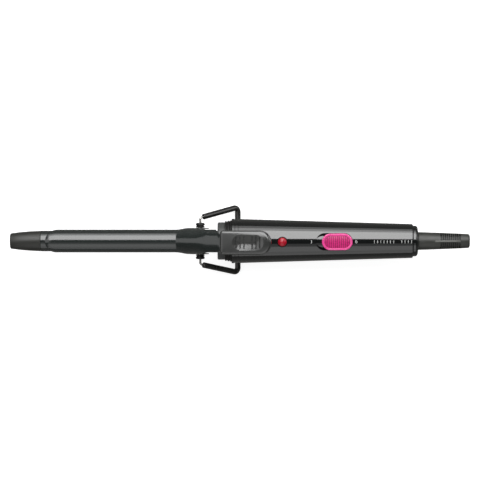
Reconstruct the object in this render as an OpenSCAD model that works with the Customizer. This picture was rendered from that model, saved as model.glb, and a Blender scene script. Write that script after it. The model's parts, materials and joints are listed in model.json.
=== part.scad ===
// Curling iron: a heated barrel with a spring clip, a folding wire stand, a tapered
// handle with a slide switch and a pilot lamp, and a swivelling cord entry.
// It lies along X with the cool tip at -X, the cord entry at +X and the switch on top.
// The origin is the middle of its length, on the surface that the stand's bar touches.

/* [Barrel] */
// Outer diameter of the heated barrel
barrel_d = 14.8; // [13:0.1:18]
// Wall of the barrel tube
barrel_wall = 0.6; // [0.5:0.1:1]
// Length of barrel in view, from the cool tip to the nose of the handle
barrel_len = 126.7; // [105:0.1:160]
// Length of barrel hidden inside the handle shells
barrel_tail = 10; // [9:0.5:14]

/* [Cool tip] */
// Length of the cool tip
tip_len = 22.4; // [15:0.1:30]
// Diameter of the cool tip's flat end
tip_end_d = 11.2; // [8:0.1:13]
// Length of the spigot that is pushed into the barrel
spigot_len = 8; // [5:0.5:12]
// Radius of the rounded end edge
tip_edge_r = 1.2; // [0.5:0.1:2]

/* [Clip] */
// Thickness of the clip's sheet steel
clip_sheet = 0.6; // [0.5:0.05:0.8]
// Gap between the closed clip and the barrel
clip_gap = 0.2; // [0.15:0.05:0.4]
// Distance from the cool tip to the clip's rounded front end
clip_setback = 3.4; // [0.3:0.1:5]
// Distance from the hinge axis forward to the bend where the lever starts to rise
bend_lead = 17.4; // [14:0.1:22]
// Distance from the nose of the handle forward to the hinge axis
hinge_setback = 12.4; // [12:0.1:16]
// Angle that the clip opens
open_angle = 11; // [8:0.5:12]
// Half the width of the lever's neck
neck_half_w = 7.3; // [6.5:0.1:8]
// Depth of the neck's turned-down edges
neck_depth = 3.4; // [2.5:0.1:4]

/* [Thumb pad] */
// Length of the thumb pad
pad_len = 36.7; // [30:0.1:45]
// Width of the thumb pad
pad_w = 17.2; // [15:0.1:20]
// Thickness of the thumb pad
pad_t = 5.6; // [5:0.1:7]
// Plastic under the steel tang
pad_floor = 1.4; // [1.2:0.1:1.8]
// Length of the ribbed recess
recess_len = 22.2; // [18:0.1:26]
// Width of the ribbed recess
recess_w = 11.2; // [9:0.1:12]
// Distance of the recess from the front of the pad
recess_front = 9.2; // [6:0.1:12]
// Depth of the ribbed recess
recess_depth = 0.9; // [0.5:0.1:1.2]
// Pitch of the grip grooves
groove_pitch = 2.75; // [2:0.05:3.2]

/* [Hinge] */
// Radius of the hinge pins
pin_r = 1.5; // [1.2:0.1:2]
// Sheet of the bracket's band
band_t = 0.75; // [0.6:0.05:1]
// Diameter of the clip spring, over the wire
spring_d = 6; // [5:0.1:7]
// Wire of the clip spring
spring_wire_d = 0.9; // [0.6:0.1:1]

/* [Stand] */
// Diameter of the stand's bare wire
wire_d = 1.6; // [1.2:0.1:2]
// Diameter of the heat-proof sleeve
sleeve_d = 4.1; // [3.4:0.1:5]
// Length of the stand's bar between the centres of its legs
bar_w = 47.3; // [40:0.1:54]
// Distance between the legs' straight ends at the hinge axis
foot_w = 33.5; // [31:0.1:36]
// Distance of the folded bar behind the front edge of the shells
bar_setback = 4.4; // [2.5:0.1:8]
// Radius of the bar's two corners, to the middle of the wire
bar_bend_r = 2.7; // [2.6:0.1:4]
// Diameter of the bushings on the hinge pins
bushing_d = 6.3; // [5:0.1:7]
// Length of the bushings
bushing_len = 3.3; // [2.9:0.1:4]

/* [Handle] */
// Length of the handle shells
handle_len = 129.9; // [125:0.1:156]
// Diameter of the shells at the front
handle_front_d = 32; // [30:0.1:36]
// Diameter of the shells at the rear
handle_rear_d = 24.4; // [23:0.1:28]
// Wall of the handle shells
handle_wall = 1.8; // [1.5:0.1:2.2]
// Length of the nose ring
nose_len = 5.3; // [5:0.1:8]
// Diameter of the nose ring
nose_d = 26.8; // [25.5:0.1:28]
// Length of the finned ring behind it
fins_len = 4.8; // [3.5:0.1:6]
// Diameter of the finned ring
fins_d = 29.8; // [28:0.1:31]
// Length of the rear cap
cap_len = 3.5; // [3:0.1:5]
// Diameter of the rear cap
cap_d = 22.1; // [21:0.1:23]

/* [Lamp and switch] */
// Distance of the pilot lamp behind the front edge of the shells
lamp_back = 36.1; // [35:0.1:38]
// Diameter of the pilot lens
lens_d = 6.2; // [5.6:0.1:7]
// Distance of the middle of the switch pocket behind the front edge of the shells
switch_back = 73.3; // [70:0.1:78]
// Length of the knob
knob_len = 21.7; // [18:0.1:26.1]
// Width of the knob
knob_w = 11.8; // [10:0.1:12.2]
// Travel of the knob from off to on
knob_travel = 4; // [3:0.1:5]
// Height of the knob over the shell
knob_rise = 2.1; // [1.5:0.1:3]

/* [Cord entry] */
// Length of the strain relief
relief_len = 37.4; // [30:0.1:45]
// Diameter of the strain relief at its base
relief_base_d = 12.8; // [12.2:0.1:14]
// Diameter of the strain relief at its free end
relief_end_d = 10.1; // [8.8:0.1:11]
// Diameter of the bore for the mains lead
cord_bore_d = 6.5; // [6:0.1:6.6]
// Number of flexing slots on each side
slot_count = 10; // [6:1:12]

/* [Hidden] */
$fn = 64;

// Clearances: pieces pushed together, pieces that turn on each other, pieces that pass by.
fit = 0.05;
run = 0.05;
air = 0.3;
// A little more than nothing, for cuts that run past a face.
past = 0.5;

// Stations along the iron, from the cool tip to the end of the strain relief.
total_len = tip_len + barrel_len + nose_len + fins_len + handle_len + cap_len + relief_len;
x_tip = -total_len / 2;
x_shoulder = x_tip + tip_len;
x_nose = x_shoulder + barrel_len;
x_fins = x_nose + nose_len;
x_shell = x_fins + fins_len;
x_cap = x_shell + handle_len;
x_relief = x_cap + cap_len;
x_end = x_relief + relief_len;
x_hinge = x_nose - hinge_setback;
x_bend = x_hinge - bend_lead;
x_barrel_end = x_shell + barrel_tail;

// Radii.
barrel_r = barrel_d / 2;
bore_r = barrel_r - barrel_wall;
clip_in_r = barrel_r + clip_gap;
clip_out_r = clip_in_r + clip_sheet;
front_r = handle_front_d / 2;
rear_r = handle_rear_d / 2;
function shell_r(x) = front_r - (front_r - rear_r) * (x - x_shell) / handle_len;
taper_angle = atan((front_r - rear_r) / handle_len);

// Heater stack inside the barrel: stone, electrode and film on each side of the middle.
heater_setback = 22;
heater_back = 34.7;
x_heater = x_shoulder + heater_setback;
heater_len = barrel_len - heater_setback - heater_back;
stone_t = 2;
stone_w = 8;
stone_gap = 2;
stone_count = 3;
stone_end_gap = 3;
stone_len = (heater_len - 2 * stone_end_gap - (stone_count - 1) * stone_gap) / stone_count;
electrode_t = 0.3;
film_t = 0.15;
film_w = 12;
stack_half = stone_t / 2 + electrode_t + film_t;
electrode_len = heater_len - 2 * stone_end_gap;
x_electrode = x_heater + stone_end_gap;
tab_w = 3;
tab_y = 2.2;
tab_len = 9;
x_tab_end = x_electrode + electrode_len + tab_len;
electrode_z = stone_t / 2 + electrode_t / 2;

// Barrel holder and its screws.
holder_r = 9.5;
holder_flange_t = 2;
holder_flange_r = shell_r(x_shell + 4) - handle_wall - 0.4;
holder_lip = 1;
barrel_screw_back = 3;
x_barrel_screw = x_barrel_end - barrel_screw_back;
barrel_screw_r = 1.1;
barrel_screw_head_r = 2;
barrel_screw_head_t = 1.2;

// Front wall of the shells and the shank of the nose ring that it holds.
front_wall = 1.8;
shank_r = 11.5;
nose_flange_t = 1.1;
nose_flange_r = 12.8;
nose_lip = 2;
x_nose_flange = x_shell + front_wall + fit;
x_holder_flange = x_nose_flange + nose_flange_t + fit;
x_holder_rib = x_holder_flange + holder_flange_t + fit;
holder_rib_t = 1.5;
holder_rib_r = 11.3;

// Hinge: bracket pads, clip ears, bushings, counted outwards from the barrel.
bracket_pad_y = barrel_r + 1.1;
ear_in_y = bracket_pad_y + air;
ear_out_y = ear_in_y + clip_sheet;
bushing_y = ear_out_y + air;
bushing_end_y = bushing_y + bushing_len;
pin_end_y = bushing_end_y - 0.95;
wire_end_y = bushing_end_y - 0.75;
band_r = barrel_r + fit + band_t;
band_front = 5;
band_back = 11.4;
bracket_pad_r = 3.6;
ear_r = 3.6;
ear_front = 11;
ear_back = 6.2;
spring_back = 8;
spring_seat_z = band_r + 0.7;
spring_r = (spring_d - spring_wire_d) / 2;

// The pad's underside clears the shell's top line by the air gap when the clip is fully open:
// the shell's front edge, turned back through the opening angle, fixes that line.
edge_x = x_shell - x_hinge;
edge_z = front_r + air;
line_x = edge_x * cos(open_angle) - edge_z * sin(open_angle);
line_z = edge_x * sin(open_angle) + edge_z * cos(open_angle);
pad_slope = open_angle - taper_angle;
pad_start = 2.5;
knee_x = x_nose + pad_start - 0.5 - x_hinge;
knee_z = line_z - (line_x - knee_x) * tan(pad_slope);
tang_z = pad_floor;
tang_w = 11.6;
tang_len = pad_len - 5;
knee_top = knee_z + (tang_z + clip_sheet) / cos(pad_slope);
pad_screw_x = [12, 27];
pad_screw_r = 1.1;
pad_screw_head_r = 2;
pad_screw_len = 2.6;

// Lever line and hood, in distances from the hinge axis.
function mix(a, b, t) = a + (b - a) * t;
function smooth(t) = let (u = min(1, max(0, t))) u * u * (3 - 2 * u);
function lever_top(x) = mix(clip_out_r, knee_top, (x + bend_lead) / (knee_x + bend_lead));
function hood_half_w(x) = clip_out_r
    + (ear_out_y - clip_out_r) * smooth((x + bend_lead) / 10)
    - (ear_out_y - neck_half_w) * smooth((x + 2) / 9);
function hood_bottom(x) = mix(0, lever_top(x) - neck_depth, smooth((x + 5) / 10));

// Stand: a flat frame that turns about the hinge axis; its folded angle lays the bar under
// the shells with the air gap between them.
wire_r = wire_d / 2;
sleeve_r = sleeve_d / 2;
x_bar = x_shell + bar_setback;
bar_drop = shell_r(x_bar - sleeve_r) + air + sleeve_r;
bar_reach = x_bar - x_hinge;
stand_angle = atan(bar_drop / bar_reach);
stand_len = norm([bar_reach, bar_drop]);
sleeve_start = 2.6;
axis_z = bar_drop + sleeve_r;

// Screws that close the shells.
x_front_screw = x_shell + 16.8;
x_rear_screw = x_cap - 23.1;
shell_screw_r = 1.4;
shell_screw_head_r = 2.7;
shell_screw_head_t = 1.8;
shell_screw_reach = 6;
boss_r = 3.4;
boss_floor = 2.2;
function screw_seat_z(x) = -(shell_r(x) - handle_wall - boss_floor - 2.4);

// Pilot lens.
x_lamp = x_shell + lamp_back;
lens_r = lens_d / 2;
lens_flange_r = lens_r + 1.1;
lens_wall_z = shell_r(x_lamp) - handle_wall;
lens_flange_z = sqrt(pow(lens_wall_z, 2) - pow(lens_flange_r, 2)) - 2 * fit;
lens_flange_t = 0.9;
lens_rise = 1.3;

// Switch pocket, knob, slider and body. The switch hangs just under the pocket's floor.
x_switch = x_shell + switch_back;
pocket_gap = 0.3;
pocket_len = knob_len + knob_travel + 2 * pocket_gap;
pocket_w = knob_w + 2 * pocket_gap;
pocket_floor_z = sqrt(pow(shell_r(x_switch), 2) - pow(pocket_w / 2, 2)) - 1;
pocket_floor_t = 1.4;
knob_off = knob_travel / 2;
post_w = 2.4;
slot_w = post_w + 0.6;
slot_past_post = 1.2;
slot_len = knob_travel + post_w + 2 * slot_past_post;
slider_len = 8;
slider_w = 5.8;
slider_t = 2.4;
slider_lift = 1.7;
switch_wall = 0.8;
switch_len = slider_len + knob_travel + 0.6 + 2 * switch_wall;
switch_w = slider_w + 0.4 + 2 * switch_wall;
switch_base_t = 1;
switch_lid_t = 0.6;
switch_gap = 0.2;
switch_lid_z = pocket_floor_z - pocket_floor_t - switch_gap - switch_lid_t;
slider_z = switch_lid_z - switch_gap - slider_t;
contact_pitch = 4;
contact_r = 0.6;
bridge_t = 0.4;
knob_groove_pitch = 1.43;
knob_groove_w = 0.55;
knob_groove_count = 12;

// Circuit board, under the switch and the lamp, and what stands on it.
board_t = 1.6;
board_top = slider_z - slider_lift;
board_z = board_top - board_t;
board_w = 16;
board_edge = 2.5;
board_past_switch = 22;
board_screw_r = 1;
board_screw_head_r = 1.9;
board_screw_head_t = 1.2;
post_r = 2.2;
post_gap = 0.8;
x_board = x_lamp - lens_flange_r - post_gap - post_r - board_edge;
board_len = x_switch + board_past_switch - x_board;
board_screw_x = [x_board + board_edge, x_board + board_len - board_edge];
pin_hole_r = 0.4;
lead_pin_r = 0.3;
lamp_r = 2.5;
lamp_foot_z = board_top + 1.2;
lamp_body = lens_flange_z - lens_flange_t - 0.2 - lamp_r - lamp_foot_z;
lamp_pin_y = 1.27;

// Swivel: rotor, slip rings and the rear cap that carries it.
cap_shank_len = 2.9;
journal_r = 6.3;
x_rotor_flange = x_cap - cap_shank_len - 0.3;
rotor_flange_t = 1.6;
rotor_flange_r = 7.6;
hub_r = 4.5;
hub_len = 14;
hub_bore_r = 2.5;
x_hub = x_rotor_flange - rotor_flange_t - hub_len;
spigot_r = hub_r + 0.1;
relief_gap = 0.2;
ring_r = 5.2;
ring_w = 2.5;
ring_offsets = [2, 8];
bulkhead_t = 1.6;
bulkhead_r = 6;
x_bulkhead = x_rotor_flange - rotor_flange_t - 0.3 - bulkhead_t;
brush_t = 0.3;
brush_w = 2.2;
brush_low = -8;
brush_high = 4;
brush_clamp_t = 1.2;

// Strain relief.
relief_base_len = 12.4;
relief_end_len = 6;
relief_edge_r = 1.6;
slot_w_x = 0.8;
slot_floor_r = cord_bore_d / 2 + 0.9;
spine_w = 1.5;

// ---------- helpers ----------

// A solid of revolution about the iron's axis, from [x, radius] points.
module lathe(points) {
    rotate([0, 90, 0]) rotate_extrude() polygon([for (p = points) [p[1], p[0]]]);
}

module rod_x(x, len, r) {
    translate([x, 0, 0]) rotate([0, 90, 0]) cylinder(h = len, r = r);
}

module rod_y(y, len, r) {
    translate([0, y, 0]) rotate([-90, 0, 0]) cylinder(h = len, r = r);
}

module tube_x(x, len, r_in, r_out) {
    difference() {
        rod_x(x, len, r_out);
        rod_x(x - past, len + 2 * past, r_in);
    }
}

// A slot-shaped plate, centred, along X.
module stadium(len, w, h) {
    r = w / 2;
    translate([-(len / 2 - r), -r, 0]) cube([len - w, w, h]);
    for (side = [-1, 1]) translate([side * (len / 2 - r), 0, 0]) cylinder(h = h, r = r);
}

// Points of an arc, as [x, radius] pairs.
function arc_points(centre, r, from, to, steps) =
    [for (i = [0:steps]) let (a = mix(from, to, i / steps)) centre + r * [cos(a), sin(a)]];

// One pass of corner cutting, which keeps both ends where they are.
function cut_corners(p) = concat([p[0]],
    [for (i = [0:len(p) - 2], t = [0.25, 0.75]) mix(p[i], p[i + 1], t)], [p[len(p) - 1]]);

function unit(v) = v / norm(v);

// Direction of a path at point i.
function heading(p, i) = unit(p[min(i + 1, len(p) - 1)] - p[max(i - 1, 0)]);

// Rings of points around a path that never runs parallel to up.
function sweep_points(path, r, sides, up) = [for (i = [0:len(path) - 1])
    let (t = heading(path, i), n = unit(cross(t, up)), b = cross(t, n))
    for (k = [0:sides - 1]) path[i] + r * (n * cos(360 * k / sides) + b * sin(360 * k / sides))];

// Triangles between the rings, which face outwards.
function sweep_walls(rings, sides) = [for (i = [0:rings - 2], k = [0:sides - 1])
    let (a = i * sides + k, b = i * sides + (k + 1) % sides)
    for (f = [[a, b + sides, a + sides], [a, b, b + sides]]) f];

// A round wire of radius r along the points of a path.
module sweep(path, r, sides = 8, up = [0, 0, 1]) {
    last = (len(path) - 1) * sides;
    start = [for (k = [1:sides - 2]) [0, k + 1, k]];
    finish = [for (k = [1:sides - 2]) [last, last + k, last + k + 1]];
    polyhedron(sweep_points(path, r, sides, up), concat(sweep_walls(len(path), sides), start, finish));
}

// A hose of outer radius r_out and bore r_in along the points of a path.
module sweep_tube(path, r_out, r_in, sides, up = [0, 0, 1]) {
    count = len(path) * sides;
    last = count - sides;
    bore = [for (f = sweep_walls(len(path), sides)) [f[2] + count, f[1] + count, f[0] + count]];
    ends = [for (k = [0:sides - 1]) let (m = (k + 1) % sides)
        for (f = [[m, k, k + count], [m, k + count, m + count],
                  [last + k, last + m, last + m + count], [last + k, last + m + count, last + k + count]]) f];
    polyhedron(concat(sweep_points(path, r_out, sides, up), sweep_points(path, r_in, sides, up)),
        concat(sweep_walls(len(path), sides), bore, ends));
}

// Lifts the iron so that the stand's bar rests on the surface.
module lay() {
    translate([0, 0, axis_z]) children();
}

// Upper or lower half of what is inside.
module half(side) {
    intersection() {
        children();
        translate([x_tip, -50, side > 0 ? 0 : -100]) cube([total_len, 100, 100]);
    }
}

// ---------- barrel and heater ----------

module barrel_tube() {
    color("#3a4442") difference() {
        tube_x(x_shoulder, x_barrel_end - x_shoulder, bore_r, barrel_r);
        translate([x_barrel_screw, 0, -barrel_d]) cylinder(h = 2 * barrel_d, r = barrel_screw_r + fit);
    }
}

module cool_tip() {
    end_r = tip_end_d / 2;
    wall = 1.6;
    spigot_out = bore_r - fit;
    outline = concat([[x_tip, 0]],
        arc_points([x_tip + tip_edge_r, end_r - tip_edge_r], tip_edge_r, 180, 90, 6),
        [[x_shoulder - 0.4, barrel_r - 0.05], [x_shoulder, barrel_r - 0.25],
         [x_shoulder, spigot_out], [x_shoulder + spigot_len - 0.6, spigot_out],
         [x_shoulder + spigot_len, spigot_out - 0.5], [x_shoulder + spigot_len, spigot_out - wall],
         [x_tip + 2 * wall, end_r - 2 * wall], [x_tip + 2 * wall, 0]]);
    color("#454640") lathe(outline);
}

module heat_spreader(side) {
    color("silver") intersection() {
        rod_x(x_heater, heater_len, bore_r - fit);
        translate([x_heater, -barrel_r, side > 0 ? stack_half : -stack_half - barrel_r])
            cube([heater_len, barrel_d, barrel_r]);
    }
}

module ptc_stones() {
    color("dimgray") for (i = [0:stone_count - 1])
        translate([x_electrode + i * (stone_len + stone_gap), -stone_w / 2, -stone_t / 2])
            cube([stone_len, stone_w, stone_t]);
}

module electrode_strips() {
    color("goldenrod") for (side = [-1, 1])
        translate([x_electrode, 0, side * electrode_z - electrode_t / 2]) {
            translate([0, -stone_w / 2, 0]) cube([electrode_len, stone_w, electrode_t]);
            translate([electrode_len - 1, side * tab_y - tab_w / 2, 0])
                cube([tab_len + 1, tab_w, electrode_t]);
        }
}

module insulating_films() {
    color("orange") for (side = [-1, 1])
        translate([x_heater, -film_w / 2, side > 0 ? stack_half - film_t : -stack_half])
            cube([heater_len, film_w, film_t]);
}

// The fuse sits in one lead, just behind the heater.
fuse_r = 1.7;
fuse_len = 10;
fuse_y = 3;
x_fuse = x_tab_end + 5;
lead_r = 0.7;
sleeving_r = 1.2;
x_sleeving = x_fuse + fuse_len + 2;

module thermal_fuse() {
    color("gainsboro") translate([0, -fuse_y, 0]) rod_x(x_fuse, fuse_len, fuse_r);
}

// A lead's straight run down the barrel, then past the front screw boss to the board.
function lead_run(side) = [
    [x_sleeving - 1.5, side * fuse_y, 0],
    [x_barrel_end - 12, side * fuse_y, 0],
    [x_barrel_end - 4, side * (fuse_y + 0.6), 0],
    [x_front_screw - 4, side * (boss_r + 1.6), 0],
    [x_front_screw + 4, side * (boss_r + 1.6), 0],
    [x_board + 1, side * 5.5, board_z - 2.4],
    [x_board + 4, side * 5.5, board_z - lead_r - 0.02],
    [x_board + 7, side * 5.5, board_z - lead_r - 0.02]];

module heater_leads() {
    color("white") {
        sweep(cut_corners(concat(
            [[x_tab_end + 0.1, tab_y, electrode_z], [x_tab_end + 4, tab_y + 0.3, electrode_z]],
            lead_run(1))), lead_r);
        sweep(cut_corners([[x_tab_end + 0.1, -tab_y, -electrode_z],
            [x_tab_end + 2, -tab_y, -electrode_z], [x_fuse - 1.5, -fuse_y, 0],
            [x_fuse - 0.05, -fuse_y, 0]]), lead_r);
        sweep(cut_corners(concat([[x_fuse + fuse_len + 0.05, -fuse_y, 0]], lead_run(-1))), lead_r);
    }
}

module lead_sleeves() {
    color("ivory") for (side = [-1, 1]) translate([0, side * fuse_y, 0])
        tube_x(x_sleeving, x_barrel_end - 12.5 - x_sleeving, lead_r + 0.1, sleeving_r);
}

// ---------- barrel mounting and nose ----------

module barrel_holder() {
    color("saddlebrown") difference() {
        union() {
            rod_x(x_nose + nose_lip + fit, x_barrel_end + holder_lip - x_nose - nose_lip - fit, holder_r);
            rod_x(x_holder_flange, holder_flange_t, holder_flange_r);
        }
        rod_x(x_nose, x_barrel_end - x_nose, barrel_r + fit);
        rod_x(x_nose, x_barrel_end - x_nose + 2 * holder_lip, bore_r);
        translate([x_barrel_screw, 0, -2 * holder_r])
            cylinder(h = 4 * holder_r, r = barrel_screw_r + fit);
        for (side = [-1, 1]) translate([x_barrel_screw, 0, side * (holder_r - 0.4)])
            mirror([0, 0, side > 0 ? 0 : 1]) cylinder(h = 2, r = barrel_screw_head_r + 0.2);
    }
}

module barrel_screws() {
    color("silver") for (side = [0, 1]) mirror([0, 0, side]) translate([x_barrel_screw, 0, 0]) {
        translate([0, 0, bore_r - 1.2]) cylinder(h = holder_r - 0.4 - bore_r + 1.2, r = barrel_screw_r);
        difference() {
            translate([0, 0, holder_r - 0.4]) cylinder(h = barrel_screw_head_t, r = barrel_screw_head_r);
            translate([-1.5, -0.25, holder_r + 0.4]) cube([3, 0.5, 1]);
        }
    }
}

module nose_ring() {
    r = nose_d / 2;
    edge = 1.2;
    bore = holder_r + fit;
    back = x_nose_flange + nose_flange_t;
    color("#333333") lathe(concat(
        [[x_nose, barrel_r + 0.2]],
        arc_points([x_nose + edge, r - edge], edge, 180, 90, 6),
        [[x_fins, r], [x_fins, shank_r], [x_nose_flange, shank_r], [x_nose_flange, nose_flange_r],
         [back, nose_flange_r], [back, bore], [x_nose + nose_lip, bore],
         [x_nose + nose_lip, barrel_r + 0.2]]));
}

module fin_ring() {
    r = fins_d / 2;
    fin = fins_len / 5;
    depth = 0.9;
    inner = shank_r + fit;
    front = x_fins + 0.02;
    back = x_shell - 0.02;
    grooves = [for (i = [1, 3]) for (p = [[0, 0], [0, -depth], [fin, -depth], [fin, 0]])
        [x_fins + i * fin + p[0], r + p[1]]];
    color("#1a1a1a") lathe(concat([[front, inner], [front, r]], grooves, [[back, r], [back, inner]]));
}

// ---------- hinge, clip and stand ----------

module hinge_bracket() {
    color("#6d7370") translate([x_hinge, 0, 0]) difference() {
        union() {
            rod_x(-band_front, band_front + band_back, band_r);
            rod_y(-bracket_pad_y, 2 * bracket_pad_y, bracket_pad_r);
            translate([spring_back, 0, 0]) {
                cylinder(h = spring_seat_z, r = spring_d / 2 + 0.3);
                cylinder(h = spring_seat_z + 2, r = spring_r - spring_wire_d / 2 - 0.3);
            }
        }
        rod_x(-3 * band_front, 3 * (band_front + band_back), barrel_r + fit);
        rod_y(-2 * barrel_r, 4 * barrel_r, pin_r);
    }
}

module hinge_pins() {
    inner = barrel_r + 0.15;
    color("silver") for (side = [0, 1]) mirror([0, side, 0]) translate([x_hinge, 0, 0])
        rod_y(inner, pin_end_y - inner, pin_r);
}

// Compression spring between the bracket's seat and the underside of the neck.
module clip_spring() {
    turns = 5.5;
    per_turn = 16;
    low = spring_seat_z + spring_wire_d / 2 + 0.02;
    high = lever_top(spring_back - spring_d / 2) - clip_sheet - spring_wire_d / 2 - 0.5;
    steps = turns * per_turn;
    color("silver") translate([x_hinge + spring_back, 0, 0])
        sweep([for (i = [0:steps]) let (a = 360 * i / per_turn)
            [spring_r * cos(a), spring_r * sin(a), mix(low, high, smooth(mix(0.08, 0.92, i / steps)))]],
            spring_wire_d / 2);
}

// Cross-section of the lever's hood and neck: an arch of sheet, as a closed loop of points.
arch_steps = 18;
function arch(x, w, top, bottom, t) = concat(
    [for (i = [0:arch_steps]) let (a = 180 * i / arch_steps)
        [x, w * cos(a), bottom + (top - bottom) * sin(a)]],
    [for (i = [arch_steps:-1:0]) let (a = 180 * i / arch_steps)
        [x, (w - t) * cos(a), bottom + (top - bottom - t) * sin(a)]]);

module loft(loops) {
    n = len(loops[0]);
    m = n / 2;
    rows = len(loops);
    walls = [for (i = [0:rows - 2], k = [0:n - 1]) let (j = (k + 1) % n)
        for (f = [[i * n + k, (i + 1) * n + k, (i + 1) * n + j],
                  [i * n + k, (i + 1) * n + j, i * n + j]]) f];
    base = (rows - 1) * n;
    start = [for (k = [0:m - 2]) for (f = [[k, k + 1, n - 2 - k], [k, n - 2 - k, n - 1 - k]]) f];
    finish = [for (k = [0:m - 2])
        for (f = [[base + k, base + n - 2 - k, base + k + 1],
                  [base + k, base + n - 1 - k, base + n - 2 - k]]) f];
    polyhedron([for (loop = loops) each loop], concat(walls, start, finish));
}

// Half a tube over the barrel, with a rounded front end.
module blade() {
    front = x_shoulder + clip_setback;
    len = x_bend - front;
    intersection() {
        tube_x(front, len, clip_in_r, clip_out_r);
        union() {
            translate([front + clip_out_r, 0, 0]) cylinder(h = 2 * clip_out_r, r = clip_out_r);
            translate([front + clip_out_r, -2 * clip_out_r, 0])
                cube([len, 4 * clip_out_r, 2 * clip_out_r]);
        }
    }
}

module ear(side) {
    y = side > 0 ? ear_in_y : -ear_out_y;
    rod_y(y, clip_sheet, ear_r);
    translate([-ear_front, y, 0]) cube([ear_front, clip_sheet, ear_r]);
    translate([0, y, -ear_r / 2]) cube([ear_back - ear_r / 2, clip_sheet, ear_r]);
    translate([ear_back - ear_r / 2, 0, 0]) rod_y(y, clip_sheet, ear_r / 2);
}

module clip_blade() {
    overlap = 0.6;
    lever_span = knee_x + bend_lead;
    stations = 14;
    joint_r = clip_out_r - 0.06;
    joint_t = clip_sheet - 0.12;
    color("#3a4442") difference() {
        union() {
            blade();
            translate([x_hinge, 0, 0]) {
                loft(concat([arch(-bend_lead - overlap, joint_r, joint_r, 0.02, joint_t)],
                    [for (i = [0:stations]) let (x = -bend_lead + 0.01 + (lever_span - 0.01) * i / stations)
                        arch(x, hood_half_w(x) - 0.02, lever_top(x), hood_bottom(x) + 0.02,
                             clip_sheet - 0.03)]));
                ear(1);
                ear(-1);
                translate([knee_x, 0, knee_z]) rotate([0, -pad_slope, 0])
                    translate([-2.4, -tang_w / 2, tang_z]) cube([tang_len + 2.4, tang_w, clip_sheet]);
            }
        }
        translate([x_hinge, 0, 0]) {
            rod_y(-2 * ear_out_y, 4 * ear_out_y, pin_r + run);
            translate([knee_x, 0, knee_z]) rotate([0, -pad_slope, 0])
                for (x = pad_screw_x) translate([x, 0, 0]) cylinder(h = pad_t, r = pad_screw_r + fit);
        }
    }
}

// Moves children to the pad's own frame: the knee of the lever, with X along the pad.
module at_pad() {
    translate([x_hinge + knee_x, 0, knee_z]) rotate([0, -pad_slope, 0]) children();
}

module thumb_pad() {
    start = 0.5;
    corner = 2;
    end_r = pad_w / 2;
    recess_mid = start + recess_front + recess_len / 2;
    groove_w = 0.9;
    color("#2b2c2c") at_pad() difference() {
        union() {
            translate([start + corner, -end_r, 0]) cube([pad_len - end_r - corner, pad_w, pad_t]);
            translate([start, -end_r + corner, 0]) cube([pad_len - end_r, pad_w - 2 * corner, pad_t]);
            for (side = [-1, 1]) translate([start + corner, side * (end_r - corner), 0])
                cylinder(h = pad_t, r = corner);
            translate([start + pad_len - end_r, 0, 0]) cylinder(h = pad_t, r = end_r);
        }
        translate([-past, -tang_w / 2 - fit, tang_z - fit])
            cube([tang_len + past + fit, tang_w + 2 * fit, clip_sheet + 2 * fit]);
        translate([recess_mid, 0, pad_t - recess_depth]) stadium(recess_len, recess_w, pad_t);
        for (i = [1:3], side = [-1, 1])
            translate([recess_mid + side * (i + 0.05) * groove_pitch - groove_w / 2,
                -recess_w / 2 + 1.7, pad_t - recess_depth - 0.6])
                cube([groove_w, recess_w - 3.4, pad_t]);
        for (x = pad_screw_x) translate([x, 0, -past]) {
            cylinder(h = past + tang_z, r = pad_screw_head_r + 0.2);
            cylinder(h = past + tang_z + pad_screw_len, r = pad_screw_r + fit);
        }
    }
}

module pad_screws() {
    head_t = 1;
    color("silver") at_pad() for (x = pad_screw_x) translate([x, 0, tang_z]) difference() {
        union() {
            translate([0, 0, -head_t]) cylinder(h = head_t, r = pad_screw_head_r);
            cylinder(h = pad_screw_len - 0.2, r = pad_screw_r);
        }
        translate([0, 0, -head_t - past]) for (turn = [0, 90]) rotate([0, 0, turn])
            translate([-1.2, -0.25, 0]) cube([2.4, 0.5, past + 0.6]);
    }
}

// Middle line of the stand's wire in its own plane: [along the legs, across].
leg_angle = atan((bar_w - foot_w) / 2 / stand_len);
elbow_r = 1.7;
function leg_point(u) = [u, foot_w / 2 + u * tan(leg_angle), 0];
function turn_points(corner, from, to, r, steps) =
    let (turn = to - from, inset = r * tan(abs(turn) / 2), side = sign(turn),
         start = corner - inset * [cos(from), sin(from), 0],
         centre = start + side * r * [-sin(from), cos(from), 0])
    [for (i = [0:steps]) let (a = from + turn * i / steps)
        centre + side * r * [sin(a), -cos(a), 0]];
function mirror_back(p) = [for (i = [len(p) - 1:-1:0]) [p[i][0], -p[i][1], p[i][2]]];
stand_corner = turn_points(leg_point(stand_len), leg_angle, -90, bar_bend_r, 8);
stand_half = concat([[0, wire_end_y, 0]],
    turn_points(leg_point(0), 90, leg_angle, elbow_r, 5), stand_corner);
sleeve_half = concat([leg_point(sleeve_start)], stand_corner);

module at_stand() {
    translate([x_hinge, 0, 0]) rotate([0, stand_angle, 0]) children();
}

module stand_wire() {
    color("gainsboro") at_stand()
        sweep(concat(stand_half, mirror_back(stand_half)), wire_r, 10);
}

module stand_sleeve() {
    color("#1c1c1c") at_stand()
        sweep_tube(concat(sleeve_half, mirror_back(sleeve_half)), sleeve_r, wire_r + 0.06, 12);
}

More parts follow.
